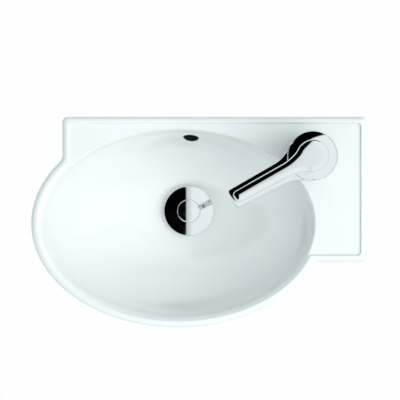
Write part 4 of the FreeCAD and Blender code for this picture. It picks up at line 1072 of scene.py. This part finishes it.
class BASIN_OT_fixing(bpy.types.Operator):
    """Finish the fixing of the tap under the ledge"""

    bl_idname = "basin.fixing"
    bl_label = "Finish the tap's fixing"

    def execute(self, context):
        colours = context.scene.basin_colours
        dress(seal_rubber(colours), "base_gasket", "clamp_gasket")
        steel = turned_metal("clamp_steel", colours.steel, 0.28, 300.0)
        dress(steel, "clamp_washer")
        nuts = context.scene.nut_sizes
        turn = math.atan2(SPOUT_WAY.y, SPOUT_WAY.x)
        brass = turned_metal("nut_brass", colours.brass, 0.24, 700.0)
        make_nut("tap_nut", "stud_nut", nuts.stud_nut_radius, nuts.stud_radius, nuts.chamfer / 2, turn,
                 nuts.stud_nut_grain, brass)
        low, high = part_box("mounting_stud")
        wide = nuts.stud_radius
        height = high.z - low.z
        faces_per_pitch = 3.5
        field = stud_field(wide, height, nuts.stud_pitch, nuts.stud_thread * nuts.stud_pitch)
        mesh = skin("tap_stud", field, (-wide, -wide, 0), (wide, wide, height),
                    nuts.stud_pitch / faces_per_pitch)
        mesh.transform(Matrix.Translation(foot_of("mounting_stud")))
        stand_in(scene_object("tap_stud", mesh), steel, "fixed", "steel", "mounting_stud")
        return {"FINISHED"}


def sheet_at(name, corners, finish):
    mesh = bpy.data.meshes.new(name)
    mesh.from_pydata(corners, [], [range(len(corners))])
    mesh.materials.append(finish)
    thing = scene_object(name, mesh)
    return thing


def lamp(name, place, target, width, power):
    light = bpy.data.lights.new(name, "AREA")
    light.shape = "SQUARE"
    light.size = width
    light.energy = power
    thing = bpy.data.objects.new(name, light)
    thing.location = place
    thing.rotation_euler = (Vector(target) - Vector(place)).to_track_quat("-Z", "Y").to_euler()
    thing.visible_camera = False
    thing.visible_glossy = False
    bpy.context.scene.collection.objects.link(thing)


def white_room(scene, stage):
    """White room: plain light all round, white where it is seen, and with dark screens for the metal."""
    room = Finish(bpy.data.worlds.new("white_room"))
    camera, mirror, through = room.rays()
    seen = camera.larger(through)
    right, back, up = room.parts_of(room.node("ShaderNodeTexCoord", output="Generated"))
    # Metal mirrors a dark screen at the left and one at the back, which the front light passes by.
    soft = stage.screen_soft
    open_side = room.levels(right, stage.screen_edge - soft, stage.screen_edge + soft)
    open_back = room.levels(back - right * 0.45 - up * 0.5, 0.66, 0.58)
    open_front = room.levels(-0.5 * up - back, 0.08, 0.16)
    glow = 0.62 + 0.36 * room.levels(right, stage.screen_edge, 0.08)
    mirrored = (open_side * open_back * glow).larger(open_front * 0.95)
    # Below a dim line at eye level it mirrors the pale floor.
    mirrored = mirrored * (1 - 0.5 * room.levels(up, 0.02, -0.06))
    mirrored = mirrored.larger(0.95 * room.levels(up, -0.08, -0.22))
    # Everything else is lit evenly, more from above and a little more from the front right.
    from_above = (0.5 + 0.75 * up).larger(0)
    even = stage.ambient * from_above * (1 + stage.slant * right - stage.slant * 0.5 * back)
    strength = seen + mirror * (1 - seen) * mirrored + (1 - seen) * (1 - mirror) * even
    sky = room.mixed(room.levels(right, 0.2, -0.6), stage.ambient_colour, stage.left_colour)
    tint = room.mixed(seen, sky, (1, 1, 1))
    light = room.node("ShaderNodeBackground", None, {"Color": tint, "Strength": strength})
    room.node("ShaderNodeOutputWorld", None, {"Surface": light})
    scene.world = room.owner


class BASIN_OT_stage(bpy.types.Operator):
    """Set up floor, lamps and camera"""

    bl_idname = "basin.stage"
    bl_label = "Set the stage"

    def execute(self, context):
        scene = context.scene
        stage = scene.stage_settings
        scene.view_settings.view_transform = "Standard"
        white_room(scene, stage)
        half = stage.floor_half
        low = -stage.floor_drop
        corners = [(-half, -half, low), (half, -half, low), (half, half, low), (-half, half, low)]
        floor = sheet_at("floor", corners, floor_finish(stage.floor_colour))
        floor.visible_glossy = False
        middle = (stage.centre_x, stage.centre_y, stage.rim_height)
        lamp("key", stage.key_place, middle, stage.key_width, stage.key_power)
        lamp("fill", stage.fill_place, middle, stage.fill_width, stage.fill_power)
        lens = bpy.data.cameras.new("overhead")
        lens.lens = lens.sensor_width * stage.camera_distance / stage.picture_width
        lens.clip_end = stage.view_depth
        camera = bpy.data.objects.new("overhead", lens)
        camera.location = (stage.centre_x, stage.centre_y, stage.rim_height + stage.camera_distance)
        scene.collection.objects.link(camera)
        scene.camera = camera
        return {"FINISHED"}


STEPS = (BASIN_OT_china, BASIN_OT_tap, BASIN_OT_lever, BASIN_OT_waste_cover, BASIN_OT_waste,
         BASIN_OT_cartridge, BASIN_OT_aerator, BASIN_OT_fixing, BASIN_OT_stage)
GROUPS = {"basin_colours": BasinColours, "overflow_sizes": OverflowSizes, "tap_sizes": TapSizes,
          "lever_sizes": LeverSizes, "waste_sizes": WasteSizes, "nut_sizes": NutSizes,
          "stage_settings": StageSettings}


class BASIN_PT_panel(bpy.types.Panel):
    """Steps that dress the basin"""

    bl_idname = "BASIN_PT_panel"
    bl_label = "Hand-rinse basin"
    bl_space_type = "VIEW_3D"
    bl_region_type = "UI"
    bl_category = "Basin"

    def draw(self, context):
        for step in STEPS:
            self.layout.operator(step.bl_idname)
        for name in GROUPS:
            group = getattr(context.scene, name)
            box = self.layout.box()
            for prop in group.__annotations__:
                box.prop(group, prop)


def register():
    for kind in (*GROUPS.values(), *STEPS, BASIN_PT_panel):
        bpy.utils.register_class(kind)
    for name, kind in GROUPS.items():
        setattr(bpy.types.Scene, name, PointerProperty(type=kind))


def unregister():
    for name in GROUPS:
        delattr(bpy.types.Scene, name)
    for kind in reversed((*GROUPS.values(), *STEPS, BASIN_PT_panel)):
        bpy.utils.unregister_class(kind)


def main():
    register()
    bpy.ops.basin.china()
    bpy.ops.basin.tap()
    bpy.ops.basin.lever()
    bpy.ops.basin.waste_cover()
    bpy.ops.basin.waste()
    bpy.ops.basin.cartridge()
    bpy.ops.basin.aerator()
    bpy.ops.basin.fixing()
    bpy.ops.basin.stage()


if __name__ == "__main__":
    main()
